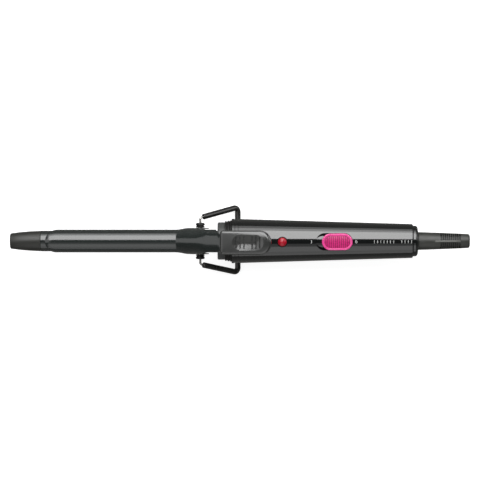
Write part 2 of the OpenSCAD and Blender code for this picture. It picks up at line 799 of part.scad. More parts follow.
module stand_bushings() {
    r = bushing_d / 2;
    waist = 0.5;
    color("#161616") at_stand() for (side = [0, 1]) mirror([0, side, 0]) difference() {
        rotate([-90, 0, 0]) rotate_extrude() polygon([
            [0, bushing_y], [r - 0.6, bushing_y], [r - waist, bushing_y + 0.5],
            [r - waist, bushing_y + 1.1], [r, bushing_y + 1.4], [r, bushing_end_y - 0.8],
            [r - 0.8, bushing_end_y], [0, bushing_end_y]]);
        rod_y(bushing_y - past, pin_end_y - bushing_y + past + 0.1, pin_r + run);
        rod_y(wire_end_y - 0.05, bushing_len, wire_r + fit);
    }
}

// ---------- handle ----------

module shell_wall() {
    edge = 0.5;
    lathe([[x_shell, shank_r + fit], [x_shell, front_r - edge], [x_shell + edge, front_r],
        [x_cap - edge, rear_r + 0.01], [x_cap, rear_r - edge], [x_cap, rear_r - handle_wall],
        [x_shell + front_wall, front_r - handle_wall], [x_shell + front_wall, shank_r + fit]]);
}

module shell_envelope() {
    lathe([[x_shell, 0], [x_shell, front_r - 0.6], [x_cap, rear_r - 0.6], [x_cap, 0]]);
}

// Ribs that hold the barrel holder's flange and the swivel's rotor.
module shell_ribs() {
    ring(x_holder_rib, holder_rib_t, holder_rib_r);
    ring(x_bulkhead, bulkhead_t, bulkhead_r);
}

module ring(x, t, r) {
    difference() {
        rod_x(x, t, shell_r(x) - handle_wall + 0.6);
        rod_x(x - past, t + 2 * past, r);
    }
}

module handle_upper() {
    color("#202020") difference() {
        union() {
            half(1) shell_wall();
            half(1) shell_ribs();
            intersection() {
                shell_envelope();
                union() {
                    for (x = [x_front_screw, x_rear_screw]) translate([x, 0, 0])
                        cylinder(h = front_r, r = boss_r - 0.4);
                    for (x = board_screw_x) translate([x, 0, board_top]) cylinder(h = front_r, r = post_r);
                    translate([x_switch, 0, pocket_floor_z - pocket_floor_t])
                        stadium(pocket_len + 3, pocket_w + 3, front_r);
                }
            }
        }
        for (x = [x_front_screw, x_rear_screw]) translate([x, 0, -past])
            cylinder(h = shell_screw_reach + past + 0.5, r = shell_screw_r - 0.02);
        for (x = board_screw_x) translate([x, 0, board_top - past])
            cylinder(h = 5, r = board_screw_r - 0.02);
        translate([x_lamp, 0, 0]) {
            cylinder(h = 2 * front_r, r = lens_r + fit);
            translate([0, 0, shell_r(x_lamp) - 0.5]) cylinder(h = front_r, r = lens_r + 0.75);
        }
        translate([x_switch, 0, pocket_floor_z]) stadium(pocket_len, pocket_w, front_r);
        translate([x_switch, 0, 0]) stadium(slot_len, slot_w, front_r);
    }
}

module handle_lower() {
    color("#202020") difference() {
        union() {
            half(-1) shell_wall();
            half(-1) shell_ribs();
            intersection() {
                shell_envelope();
                union() {
                    for (x = [x_front_screw, x_rear_screw]) translate([x, 0, -front_r])
                        cylinder(h = front_r - 0.02, r = boss_r);
                    for (i = [0, 1]) brush_clamp(i);
                }
            }
        }
        for (x = [x_front_screw, x_rear_screw]) translate([x, 0, 0]) {
            translate([0, 0, -2 * front_r])
                cylinder(h = 2 * front_r + screw_seat_z(x), r = shell_screw_head_r + 0.3);
            translate([0, 0, -2 * front_r]) cylinder(h = 3 * front_r, r = shell_screw_r + 0.15);
        }
    }
}

module handle_screws() {
    color("silver") for (x = [x_front_screw, x_rear_screw]) let (seat = screw_seat_z(x))
        translate([x, 0, seat]) difference() {
            union() {
                cylinder(h = shell_screw_reach - seat, r = shell_screw_r - 0.02);
                translate([0, 0, -shell_screw_head_t])
                    cylinder(h = shell_screw_head_t, r = shell_screw_head_r);
            }
            translate([0, 0, -shell_screw_head_t - past]) for (turn = [0, 90]) rotate([0, 0, turn])
                translate([-1.6, -0.35, 0]) cube([3.2, 0.7, past + 1]);
        }
}

module rear_cap() {
    r = cap_d / 2;
    edge = 2.2;
    bore = journal_r + run;
    shank = shell_r(x_cap) - handle_wall - fit;
    color("#262626") lathe(concat(
        [[x_cap - cap_shank_len, bore], [x_cap - cap_shank_len, shank], [x_cap + 0.02, shank],
         [x_cap + 0.02, r]],
        arc_points([x_relief - edge, r - edge], edge, 90, 0, 8), [[x_relief, bore]]));
}

// ---------- lamp, switch and board ----------

module pilot_lens() {
    top = shell_r(x_lamp) + lens_rise;
    dome = 1.6;
    sphere_r = (pow(lens_r, 2) + pow(dome, 2)) / (2 * dome);
    color("crimson") translate([x_lamp, 0, 0]) {
        translate([0, 0, lens_flange_z - lens_flange_t]) cylinder(h = lens_flange_t, r = lens_flange_r);
        intersection() {
            translate([0, 0, lens_flange_z - lens_flange_t / 2]) cylinder(h = 2 * front_r, r = lens_r);
            translate([0, 0, top - sphere_r]) union() {
                sphere(r = sphere_r);
                translate([0, 0, -front_r]) cylinder(h = front_r, r = lens_r);
            }
        }
    }
}

module pilot_lamp() {
    color("red") translate([x_lamp, 0, 0]) {
        translate([0, 0, lamp_foot_z]) cylinder(h = lamp_body, r = lamp_r);
        translate([0, 0, lamp_foot_z]) cylinder(h = 0.8, r = lamp_r + 0.4);
        translate([0, 0, lamp_foot_z + lamp_body]) sphere(r = lamp_r);
        for (side = [-1, 1]) translate([0, side * lamp_pin_y, board_z - 0.8])
            cylinder(h = lamp_foot_z + 1 - board_z, r = lead_pin_r);
    }
}

resistor_x = x_lamp + 6.5;
resistor_y = 4.5;
resistor_len = 6.4;
resistor_r = 1.2;
resistor_pin_gap = 9;

module circuit_board() {
    color("darkolivegreen") difference() {
        translate([x_board, -board_w / 2, board_z]) cube([board_len, board_w, board_t]);
        for (x = board_screw_x) translate([x, 0, board_z - past])
            cylinder(h = board_t + 2 * past, r = board_screw_r + 0.15);
        for (side = [-1, 1]) translate([x_lamp, side * lamp_pin_y, board_z - past])
            cylinder(h = board_t + 2 * past, r = pin_hole_r);
        for (i = [-1, 0, 1]) translate([x_switch + i * contact_pitch, 0, board_z - past])
            cylinder(h = board_t + 2 * past, r = contact_r + 0.1);
        for (i = [0, 1]) translate([resistor_x + i * resistor_pin_gap, resistor_y, board_z - past])
            cylinder(h = board_t + 2 * past, r = pin_hole_r);
    }
}

module board_screws() {
    color("silver") for (x = board_screw_x) translate([x, 0, board_z]) {
        translate([0, 0, -board_screw_head_t]) cylinder(h = board_screw_head_t, r = board_screw_head_r);
        cylinder(h = board_t + 4, r = board_screw_r - 0.02);
    }
}

// Ballast resistor of the lamp, on the board beside it.
module lamp_resistor() {
    z = board_top + resistor_r + 0.3;
    color("tan") translate([resistor_x, resistor_y, 0]) {
        translate([(resistor_pin_gap - resistor_len) / 2, 0, z]) rod_x(0, resistor_len, resistor_r);
        translate([0, 0, z]) rod_x(0, resistor_pin_gap, lead_pin_r);
        for (i = [0, 1]) translate([i * resistor_pin_gap, 0, board_z - 0.8])
            cylinder(h = z + 0.8 - board_z + lead_pin_r, r = lead_pin_r);
    }
}

module switch_body() {
    cavity_z = board_top + switch_base_t;
    color("#555555") translate([x_switch, 0, 0]) difference() {
        translate([-switch_len / 2, -switch_w / 2, board_top])
            cube([switch_len, switch_w, switch_lid_z + switch_lid_t - board_top]);
        translate([-switch_len / 2 + switch_wall, -switch_w / 2 + switch_wall, cavity_z])
            cube([switch_len - 2 * switch_wall, switch_w - 2 * switch_wall, switch_lid_z - cavity_z]);
        translate([0, 0, cavity_z]) stadium(slot_len, post_w + 0.4, front_r);
        for (i = [-1, 0, 1]) translate([i * contact_pitch, 0, board_top - past])
            cylinder(h = 3, r = contact_r + fit);
    }
}

module switch_contacts() {
    color("goldenrod") for (i = [-1, 0, 1]) translate([x_switch + i * contact_pitch, 0, board_z - 1])
        cylinder(h = slider_z - bridge_t - 0.05 - board_z + 1, r = contact_r);
}

module switch_slider() {
    color("white") translate([x_switch + knob_off, 0, slider_z]) {
        translate([-slider_len / 2, -slider_w / 2, 0]) cube([slider_len, slider_w, slider_t]);
        translate([-post_w / 2, -post_w / 2, 0])
            cube([post_w, post_w, pocket_floor_z + 1.8 - slider_z]);
    }
}

module contact_bridge() {
    color("goldenrod") translate([x_switch + knob_off, 0, slider_z - bridge_t])
        translate([-contact_pitch / 2 - 1, -1.2, 0]) cube([contact_pitch + 2, 2.4, bridge_t]);
}

module switch_knob() {
    base = pocket_floor_z + 0.2;
    crest = shell_r(x_switch) + knob_rise;
    grip = (knob_groove_count - 1) * knob_groove_pitch / 2;
    color("deeppink") difference() {
        intersection() {
            translate([x_switch + knob_off, 0, base]) stadium(knob_len, knob_w, front_r);
            rod_x(x_shell, handle_len, crest);
        }
        translate([x_switch + knob_off, 0, 0]) {
            translate([-post_w / 2 - fit, -post_w / 2 - fit, 0])
                cube([post_w + 2 * fit, post_w + 2 * fit, pocket_floor_z + 1.9]);
            for (i = [0:knob_groove_count - 1])
                translate([i * knob_groove_pitch - grip - knob_groove_w / 2, -knob_w / 2 + 1.6, crest - 0.7])
                    cube([knob_groove_w, knob_w - 3.2, 2]);
        }
    }
}

// ---------- supply and swivel ----------

// Each brush presses on one slip ring from its own side, and stands in a clamp on the lower shell.
function brush_x(i) = x_hub + ring_offsets[i] + (ring_w - brush_w) / 2;
function brush_side(i) = i == 0 ? 1 : -1;

module brush_clamp(i) {
    w = brush_w + 2 * brush_clamp_t;
    y = ring_r + fit + brush_t / 2;
    side = brush_side(i);
    difference() {
        translate([brush_x(i) - brush_clamp_t, side * y - 1.5, -front_r])
            cube([w, 3, front_r + brush_low + 2.5]);
        translate([brush_x(i) - fit, side * y - brush_t / 2 - fit, brush_low - fit])
            cube([brush_w + 2 * fit, brush_t + 2 * fit, 20]);
    }
}

module brush_springs() {
    color("goldenrod") for (i = [0, 1]) let (y = ring_r + fit + brush_t / 2)
        translate([brush_x(i), brush_side(i) * y - brush_t / 2, brush_low])
            cube([brush_w, brush_t, brush_high - brush_low]);
}

function supply_run(i) = let (side = brush_side(i), end = x_board + board_len)
    [[brush_x(i) + brush_w / 2, side * (ring_r + fit + brush_t + lead_r + 0.05), 2.6],
     [brush_x(i) - 3, side * 6.6, 2.6],
     [x_rear_screw, side * (boss_r + 2.6), 2],
     [end + 3, side * 5.8, 1.6],
     [end - 2, side * 5.5, board_z - lead_r - 0.02],
     [end - 6, side * 5.5, board_z - lead_r - 0.02]];

module supply_wires() {
    color("firebrick") for (i = [0, 1]) sweep(cut_corners(supply_run(i)), lead_r);
}

module swivel_rotor() {
    flange_front = x_rotor_flange - rotor_flange_t;
    color("#4a4a4a") lathe([[x_hub, hub_bore_r], [x_hub, hub_r], [flange_front, hub_r],
        [flange_front, rotor_flange_r], [x_rotor_flange, rotor_flange_r],
        [x_rotor_flange, journal_r], [x_relief + relief_gap, journal_r],
        [x_relief + relief_gap, spigot_r + fit], [flange_front + 0.6, spigot_r + fit],
        [flange_front + 0.6, hub_bore_r]]);
}

module slip_rings() {
    color("goldenrod") for (offset = ring_offsets) tube_x(x_hub + offset, ring_w, hub_r + 0.01, ring_r);
}

module strain_relief() {
    base_x = x_relief + relief_gap;
    base_r = relief_base_d / 2;
    end_r = relief_end_d / 2;
    waist_x = base_x + relief_base_len;
    bore = cord_bore_d / 2;
    inner_x = x_rotor_flange;
    slots_x = waist_x + 4;
    slots_len = x_end - relief_end_len - slots_x;
    pitch = slots_len / slot_count;
    color("#30302e") difference() {
        lathe(concat([[inner_x, bore], [inner_x, spigot_r], [base_x, spigot_r],
            [base_x, base_r - 0.3], [base_x + 0.3, base_r], [waist_x, base_r - 0.6]],
            arc_points([x_end - relief_edge_r, end_r - relief_edge_r], relief_edge_r, 90, 0, 6),
            [[x_end, bore]]));
        for (i = [0:slot_count - 1]) let (x = slots_x + i * pitch, across = i % 2)
            difference() {
                tube_x(x, slot_w_x, slot_floor_r, 2 * base_r);
                translate([x - past, across ? -spine_w / 2 : -base_r * 2, across ? -base_r * 2 : -spine_w / 2])
                    cube([slot_w_x + 2 * past, across ? spine_w : base_r * 4, across ? base_r * 4 : spine_w]);
                translate([x - past, -spine_w / 2, 0]) cube([slot_w_x + 2 * past, spine_w, 2 * base_r]);
                translate([x - past, -spine_w / 2, -2 * base_r])
                    cube([slot_w_x + 2 * past, spine_w, 2 * base_r]);
            }
    }
}

// ---------- nodes ----------

lay() barrel_tube();
lay() cool_tip();
lay() heat_spreader(1);  // heat_spreader_upper
lay() heat_spreader(-1);  // heat_spreader_lower
lay() ptc_stones();
lay() electrode_strips();
lay() insulating_films();
lay() thermal_fuse();
lay() heater_leads();
lay() lead_sleeves();
lay() barrel_holder();
lay() barrel_screws();
lay() hinge_bracket();
lay() hinge_pins();
lay() clip_spring();
lay() nose_ring();
lay() fin_ring();
lay() handle_upper();
lay() handle_lower();
lay() handle_screws();
lay() rear_cap();
lay() pilot_lens();
lay() pilot_lamp();
lay() circuit_board();
lay() board_screws();
lay() lamp_resistor();
lay() switch_body();
lay() switch_contacts();
lay() supply_wires();
lay() brush_springs();
lay() clip_blade();
lay() thumb_pad();
lay() pad_screws();
lay() stand_wire();
lay() stand_sleeve();
lay() stand_bushings();
lay() switch_knob();
lay() switch_slider();
lay() contact_bridge();
lay() swivel_rotor();
lay() slip_rings();
lay() strain_relief();
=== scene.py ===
import json
import math

import bmesh
import bpy
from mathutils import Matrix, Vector


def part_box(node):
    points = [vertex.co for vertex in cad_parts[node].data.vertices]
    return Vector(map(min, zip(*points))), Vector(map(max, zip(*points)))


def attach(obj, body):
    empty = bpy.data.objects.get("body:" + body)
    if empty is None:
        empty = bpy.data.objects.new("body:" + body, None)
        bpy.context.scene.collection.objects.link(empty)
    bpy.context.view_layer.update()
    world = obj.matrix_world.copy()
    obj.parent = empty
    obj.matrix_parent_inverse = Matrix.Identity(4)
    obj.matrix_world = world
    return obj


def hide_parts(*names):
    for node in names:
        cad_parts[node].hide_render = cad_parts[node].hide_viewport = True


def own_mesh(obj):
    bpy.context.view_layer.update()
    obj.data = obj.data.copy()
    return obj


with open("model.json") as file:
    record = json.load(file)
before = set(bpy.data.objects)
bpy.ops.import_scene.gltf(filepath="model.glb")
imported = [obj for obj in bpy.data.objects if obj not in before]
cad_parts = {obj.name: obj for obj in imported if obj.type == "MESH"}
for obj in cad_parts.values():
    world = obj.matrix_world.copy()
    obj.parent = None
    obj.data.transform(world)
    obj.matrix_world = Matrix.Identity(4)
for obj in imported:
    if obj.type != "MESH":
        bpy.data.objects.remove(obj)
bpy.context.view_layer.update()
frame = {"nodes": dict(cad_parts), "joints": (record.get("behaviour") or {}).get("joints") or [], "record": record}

mm = 0.001

# ---- Camera ----
# A long lens above the iron, which lies along the picture with its tip on the left. The lens leans
# a little towards the iron's far side.

tip_low, tip_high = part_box("cool_tip")
axis_z = (tip_low.z + tip_high.z) / 2
picture_width = 344.5 * mm
lens_mm = 200.0
sensor_mm = 36.0
camera_data = bpy.data.cameras.new("camera")
camera_data.lens = lens_mm
camera_data.sensor_width = sensor_mm
camera_data.clip_start = 0.05
camera_data.clip_end = 20.0
camera = bpy.data.objects.new("camera", camera_data)
lean = math.radians(2.7)
camera_distance = picture_width * lens_mm / sensor_mm
camera.location = (0.2 * mm, 0.72 * mm + camera_distance * math.sin(lean),
                   axis_z + camera_distance * math.cos(lean))
camera.rotation_euler = (-lean, 0, 0)
bpy.context.scene.collection.objects.link(camera)
bpy.context.scene.camera = camera

# ---- Floor and light ----
# A plain pale floor. One long softbox on the far side, crisp on its upper edge and fading downwards,
# lays a band along the barrel and the handle; a low, weaker one on the near side fills, and a small
# one beyond each end lights what slopes that way. What is straight overhead is dark.

bpy.ops.object.select_all(action="DESELECT")
bpy.ops.mesh.primitive_plane_add(size=6.0, location=(0, 0, -0.02 * mm))
floor = bpy.context.object
floor.name = "floor"
floor_material = bpy.data.materials.new("floor_paper")
floor_material.use_nodes = True
floor_shader = floor_material.node_tree.nodes["Principled BSDF"]
floor_shader.inputs["Base Color"].default_value = (0.5, 0.5, 0.5, 1)
floor_shader.inputs["Roughness"].default_value = 0.9
floor_shader.inputs["Specular IOR Level"].default_value = 0.0
floor_shader.inputs["Emission Color"].default_value = (1, 1, 1, 1)
floor_shader.inputs["Emission Strength"].default_value = 0.85
floor.visible_glossy = False
floor.data.materials.append(floor_material)

light_distance = 1.4
light_length = 1.15


def softbox(name, start, end, radiance, turn=0.0, length=light_length):
    """A softbox that fills the sky from start to end, in degrees from the lens's line towards +Y.
    turn swings it round the vertical, anticlockwise from above."""
    spread = math.radians(end - start)
    middle = math.radians(start + end) / 2 + lean
    swing = math.radians(turn)
    data = bpy.data.lights.new(name, "AREA")
    data.shape = "RECTANGLE"
    data.size = length
    data.size_y = 2 * light_distance * math.tan(spread / 2)
    data.energy = radiance * math.pi * data.size * data.size_y
    lamp = bpy.data.objects.new(name, data)
    aside = light_distance * math.sin(middle)
    lamp.location = (-aside * math.sin(swing), aside * math.cos(swing),
                     axis_z + light_distance * math.cos(middle))
    lamp.rotation_euler = (-middle, 0, swing)
    bpy.context.scene.collection.objects.link(lamp)


softbox("key", 12, 58, 5.2)
softbox("key_fade", 58, 72, 2.6)
softbox("key_tail", 72, 86, 1.0)
softbox("fill_head", -32, -16, 0.35)
softbox("fill", -62, -32, 1.0)
softbox("fill_tail", -86, -62, 0.75)
softbox("tip_side", 16, 55, 0.95, turn=80, length=0.9)
softbox("cord_side", 46, 82, 1.7, turn=-62, length=0.9)
world = bpy.data.worlds.new("room")
bpy.context.scene.world = world
world.use_nodes = True
sky = world.node_tree
backdrop = sky.nodes["Background"]
backdrop.inputs["Color"].default_value = (0.88, 0.87, 0.84, 1)
direction = sky.nodes.new("ShaderNodeTexCoord")
height = sky.nodes.new("ShaderNodeSeparateXYZ")
dimming = sky.nodes.new("ShaderNodeMapRange")
dimming.inputs["From Min"].default_value = 0.0
dimming.inputs["From Max"].default_value = 0.4
dimming.inputs["To Min"].default_value = 0.16
dimming.inputs["To Max"].default_value = 0.06
sky.links.new(direction.outputs["Generated"], height.inputs["Vector"])
sky.links.new(height.outputs["Z"], dimming.inputs["Value"])
sky.links.new(dimming.outputs["Result"], backdrop.inputs["Strength"])
paper = sky.nodes.new("ShaderNodeBackground")
paper.inputs["Color"].default_value = (0.95, 0.95, 0.95, 1)
seen = sky.nodes.new("ShaderNodeLightPath")
chosen = sky.nodes.new("ShaderNodeMixShader")
sky.links.new(seen.outputs["Is Camera Ray"], chosen.inputs["Fac"])
sky.links.new(backdrop.outputs["Background"], chosen.inputs[1])
sky.links.new(paper.outputs["Background"], chosen.inputs[2])
sky.links.new(chosen.outputs["Shader"], sky.nodes["World Output"].inputs["Surface"])
bpy.context.scene.view_settings.view_transform = "Standard"

# ---- Barrel tube ----
# A drawn steel tube with a dark green-grey ceramic coat, baked on and polished. It runs from the
# cool tip into the handle, where the phenolic holder grips it.


def clear_selection():
    bpy.ops.object.select_all(action="DESELECT")


def take_up(piece, others=()):
    """Selects a piece, with others if need be, and makes it the active one."""
    clear_selection()
    for each in (piece, *others):
        each.select_set(True)
    bpy.context.view_layer.objects.active = piece


def join_to(piece, others):
    """Makes others one mesh with a piece."""
    take_up(piece, others)
    bpy.ops.object.join()


def leave_edit():
    if bpy.context.object.mode != "OBJECT":
        bpy.ops.object.mode_set(mode="OBJECT")


def settle(piece, name, smooth=35.0):
    """Puts a piece's place into its mesh, names it and smooths what is round."""
    leave_edit()
    take_up(piece)
    bpy.ops.object.transform_apply(location=True, rotation=True, scale=True)
    bpy.ops.object.shade_smooth_by_angle(angle=math.radians(smooth), keep_sharp_edges=False)
    piece.name = name
    piece.data.name = name
    return piece


def arc(middle_x, middle_r, radius, start, end, steps):
    """Stations [x, r] round an arc in the plane of a turned piece's profile."""
    angles = [math.radians(start + (end - start) * i / steps) for i in range(steps + 1)]
    return [(middle_x + radius * math.cos(a), middle_r + radius * math.sin(a)) for a in angles]


def turned(name, stations, sides=96, ring=False, axis="X", at=(0, 0), smooth=35.0):
    """A turned piece: a circle, extruded from station to station along its axis and scaled.
    at is where the axis lies; ring closes the last station on the first, else the ends are filled."""
    along = {"X": Vector((1, 0, 0)), "Y": Vector((0, 1, 0)), "Z": Vector((0, 0, 1))}[axis]
    foot = {"X": Vector((0, *at)), "Y": Vector((at[0], 0, at[1])), "Z": Vector((*at, 0))}[axis]
    turn = {"X": (0, math.pi / 2, 0), "Y": (math.pi / 2, 0, 0), "Z": (0, 0, 0)}[axis]
    clear_selection()
    first, radius = stations[0]
    bpy.ops.mesh.primitive_circle_add(vertices=sides, radius=radius, location=foot + first * along,
                                      rotation=turn, fill_type="NOTHING" if ring else "NGON")
    piece = bpy.context.object
    bpy.ops.object.mode_set(mode="EDIT")
    for (here, r_here), (there, r_there) in zip(stations, stations[1:]):
        bpy.ops.mesh.extrude_region_move(
            TRANSFORM_OT_translate={"value": (there - here) * along, "orient_type": "GLOBAL"})
        grow = r_there / r_here
        scale = [1.0 if part else grow for part in along]
        bpy.ops.transform.resize(value=scale, orient_type="GLOBAL", center_override=foot + there * along)
    bpy.ops.mesh.select_all(action="SELECT")
    if ring:
        bpy.ops.mesh.remove_doubles(threshold=1e-6)
    bpy.ops.mesh.normals_make_consistent(inside=False)
    return settle(piece, name, smooth)


def finish(name, colour, roughness, shade=0.75, mottle=45.0, uneven=0.05, grain=2600.0, relief=0.004,
           metallic=0.0, coat=0.0, coat_roughness=0.05, ior=1.5, stretch=(1, 1, 1)):
    """A procedural finish on Object coordinates: slow colour and roughness changes, and a fine grain.
    relief is the grain's height in millimetres."""
    material = bpy.data.materials.new(name)
    material.use_nodes = True
    nodes = material.node_tree.nodes
    link = material.node_tree.links.new
    shader = nodes["Principled BSDF"]
    place = nodes.new("ShaderNodeTexCoord")
    mapping = nodes.new("ShaderNodeMapping")
    mapping.inputs["Scale"].default_value = stretch
    link(place.outputs["Object"], mapping.inputs["Vector"])
    clouds = nodes.new("ShaderNodeTexNoise")
    clouds.inputs["Scale"].default_value = mottle
    clouds.inputs["Detail"].default_value = 5.0
    link(mapping.outputs["Vector"], clouds.inputs["Vector"])
    ramp = nodes.new("ShaderNodeValToRGB")
    ramp.color_ramp.elements[0].position = 0.32
    ramp.color_ramp.elements[1].position = 0.68
    ramp.color_ramp.elements[0].color = (*[c * shade for c in colour], 1)
    ramp.color_ramp.elements[1].color = (*colour, 1)
    link(clouds.outputs["Fac"], ramp.inputs["Fac"])
    link(ramp.outputs["Color"], shader.inputs["Base Color"])
    spread = nodes.new("ShaderNodeMapRange")
    spread.inputs["From Min"].default_value = 0.3
    spread.inputs["From Max"].default_value = 0.7
    spread.inputs["To Min"].default_value = max(0.02, roughness - uneven)
    spread.inputs["To Max"].default_value = roughness + uneven
    link(clouds.outputs["Fac"], spread.inputs["Value"])
    link(spread.outputs["Result"], shader.inputs["Roughness"])
    fine = nodes.new("ShaderNodeTexNoise")
    fine.inputs["Scale"].default_value = grain
    fine.inputs["Detail"].default_value = 3.0
    link(mapping.outputs["Vector"], fine.inputs["Vector"])
    bump = nodes.new("ShaderNodeBump")
    bump.inputs["Strength"].default_value = 1.0
    bump.inputs["Distance"].default_value = relief * mm
    link(fine.outputs["Fac"], bump.inputs["Height"])
    link(bump.outputs["Normal"], shader.inputs["Normal"])
    shader.inputs["Metallic"].default_value = metallic
    shader.inputs["Coat Weight"].default_value = coat
    shader.inputs["Coat Roughness"].default_value = coat_roughness
    shader.inputs["IOR"].default_value = ior
    return material


def dress(piece, material):
    """Gives a piece or a CAD node one material all over."""
    piece.data.materials.clear()
    piece.data.materials.append(material)


barrel_low, barrel_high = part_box("barrel_tube")
barrel_r = (barrel_high.z - barrel_low.z) / 2
tube_wall = 0.6 * mm
tube_lip = 0.15 * mm
barrel_bore = barrel_r - tube_wall
coat_colour = (0.017, 0.021, 0.020)
coat_finish = finish("ceramic_coat", coat_colour, 0.20, shade=0.82, mottle=30, uneven=0.03,
                     grain=1800, relief=0.0012, coat=0.8, coat_roughness=0.09, stretch=(0.25, 1, 1))
barrel = turned("barrel_tube_visual", [
    (barrel_low.x, barrel_bore + tube_lip), (barrel_low.x, barrel_r - tube_lip),
    (barrel_low.x + tube_lip, barrel_r), (barrel_high.x - tube_lip, barrel_r),
    (barrel_high.x, barrel_r - tube_lip), (barrel_high.x, barrel_bore + tube_lip),
    (barrel_high.x - tube_lip, barrel_bore), (barrel_low.x + tube_lip, barrel_bore),
    (barrel_low.x, barrel_bore + tube_lip)], sides=128, ring=True, at=(0, axis_z))
dress(barrel, coat_finish)
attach(barrel, "iron_body")
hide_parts("barrel_tube")

# ---- Cool tip ----
# A hollow moulding in heat-resistant plastic, slightly domed on its end, with a spigot that is
# pushed into the barrel's mouth. It is warm dark grey with a satin, finely sparked surface.

shoulder_x = barrel_low.x
tip_end_r = 5.6 * mm
tip_edge = 1.2 * mm
tip_dome = 0.35 * mm
tip_finish = finish("tip_plastic", (0.024, 0.024, 0.021), 0.38, shade=0.8, mottle=90, uneven=0.06,
                    grain=4200, relief=0.010)
spigot_r = barrel_bore - 0.05 * mm
tip = turned("cool_tip_visual", [
    (tip_low.x, 0.3 * mm), (tip_low.x + 0.25 * tip_dome, 2.2 * mm),
    *arc(tip_low.x + tip_dome + tip_edge, tip_end_r - tip_edge, tip_edge, 168, 98, 6),
    (tip_low.x + 7.0 * mm, 6.32 * mm), (tip_low.x + 14.0 * mm, 6.92 * mm),
    (shoulder_x - 1.6 * mm, barrel_r - 0.16 * mm), (shoulder_x - 0.4 * mm, barrel_r - 0.08 * mm),
    (shoulder_x - 0.08 * mm, barrel_r - 0.3 * mm), (shoulder_x - 0.02 * mm, spigot_r),
    (tip_high.x - 0.6 * mm, spigot_r), (tip_high.x, spigot_r - 0.5 * mm)], at=(0, axis_z))
dress(tip, tip_finish)
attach(tip, "iron_body")
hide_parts("cool_tip")

# ---- Clip blade ----
# One pressing in 0.6 mm steel with the barrel's coat: a half-round blade with a rounded front, a
# domed hood that rises over the hinge, a waisted neck and a flat tang inside the thumb pad. Two
# ears, folded down from the hood, turn on the hinge pins.

joints = {joint["name"]: joint for joint in frame["joints"]}
hinge = Vector(joints["clip_hinge"]["pos_m"])
blade_low, blade_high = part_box("clip_blade")
pad_low, pad_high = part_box("thumb_pad")
nose_low, nose_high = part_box("nose_ring")
sheet = 0.6 * mm
sheet_edge = 0.12 * mm
clip_r = barrel_r + 0.2 * mm + sheet
bend_x = hinge.x - 17.4 * mm
hood_half = (blade_high.y - blade_low.y) / 2 - 0.02 * mm
neck_half = 7.3 * mm
neck_depth = 3.4 * mm
pad_slope = math.radians(9.324)
tang_half = 5.8 * mm
tang_length = 31.0 * mm
knee_x = nose_low.x + 2.0 * mm
pad_floor = 1.4 * mm
knee_z = pad_low.z
knee_top = knee_z - axis_z + (pad_floor + sheet) / math.cos(pad_slope)


def mix(a, b, t):
    return a + (b - a) * t


def ease(t):
    t = min(1.0, max(0.0, t))
    return t * t * (3 - 2 * t)


def pressed(name, columns, rows, place):
    """A sheet: a grid whose point in column i and row j goes to place(i / last, j / last)."""
    clear_selection()
    bpy.ops.mesh.primitive_grid_add(x_subdivisions=columns, y_subdivisions=rows, size=1.0)
    piece = bpy.context.object
    for vertex in piece.data.vertices:
        vertex.co = place(vertex.co.x + 0.5, vertex.co.y + 0.5)
    return piece


def apply_modifier(piece, kind, **settings):
    take_up(piece)
    modifier = piece.modifiers.new(kind.lower(), kind)
    for key, value in settings.items():
        setattr(modifier, key, value)
    bpy.ops.object.modifier_apply(modifier=modifier.name)


def ease_edges(piece, width, segments=2):
    """Rounds a piece's sharp edges."""
    apply_modifier(piece, "BEVEL", width=width, segments=segments, limit_method="ANGLE",
                   angle_limit=math.radians(50))


def face_out(piece):
    """Turns a closed shell's faces outwards."""
    take_up(piece)
    bpy.ops.object.mode_set(mode="EDIT")
    bpy.ops.mesh.select_all(action="SELECT")
    bpy.ops.mesh.remove_doubles(threshold=1e-7)
    bpy.ops.mesh.normals_make_consistent(inside=False)
    bpy.ops.object.mode_set(mode="OBJECT")


def lever_top(x):
    return mix(clip_r, knee_top, (x - bend_x) / (knee_x - bend_x))


def hood_width(x):
    return (clip_r + (hood_half - clip_r) * ease((x - bend_x) / (9 * mm))
            - (hood_half - neck_half) * ease((x - hinge.x + 2 * mm) / (9 * mm)))


def hood_foot(x):
    return mix(0.0, lever_top(x) - neck_depth, ease((x - hinge.x + 5 * mm) / (10 * mm)))


front_x = blade_low.x
flatten = 2.2 * mm
tang_end_x = knee_x + tang_length * math.cos(pad_slope)
blade_rows = 26
hood_rows = 40
tang_rows = 8
all_rows = blade_rows + hood_rows + tang_rows


def clip_point(u, v):
    """The sheet's outer face: u runs from the rounded front to the tang's end, v across the arch."""
    step = u * all_rows
    angle = math.pi * v
    across, up = math.cos(angle), math.sin(angle)
    if step <= blade_rows:
        rounded = front_x + clip_r - clip_r * math.sqrt(max(0.0, 1 - across * across))
        t = step / blade_rows
        return Vector((mix(rounded, bend_x, 1 - (1 - t) ** 1.6), clip_r * across, axis_z + clip_r * up))
    if step <= blade_rows + hood_rows:
        t = (step - blade_rows) / hood_rows
        x = mix(bend_x, knee_x - flatten, t)
        top, foot, half = lever_top(x), hood_foot(x), hood_width(x)
        crown = mix(1.0, 0.72, ease(t * 1.6))
        return Vector((x, half * across, axis_z + foot + (top - foot) * up ** crown))
    t = (step - blade_rows - hood_rows) / tang_rows
    flat = ease(t * tang_rows / 3)
    x = knee_x - flatten + max(0.0, t * tang_rows - 3) / (tang_rows - 3) * (tang_end_x - knee_x) \
        + min(1.0, t * tang_rows / 3) * flatten
    top = knee_top + (x - knee_x) * (math.tan(pad_slope) if x > knee_x else
                                     (knee_top - clip_r) / (knee_x - bend_x))
    half = mix(neck_half, tang_half, flat)
    rise = up ** 0.72 - 1.0
    return Vector((x, half * across, axis_z + top + neck_depth * rise * (1 - flat)))


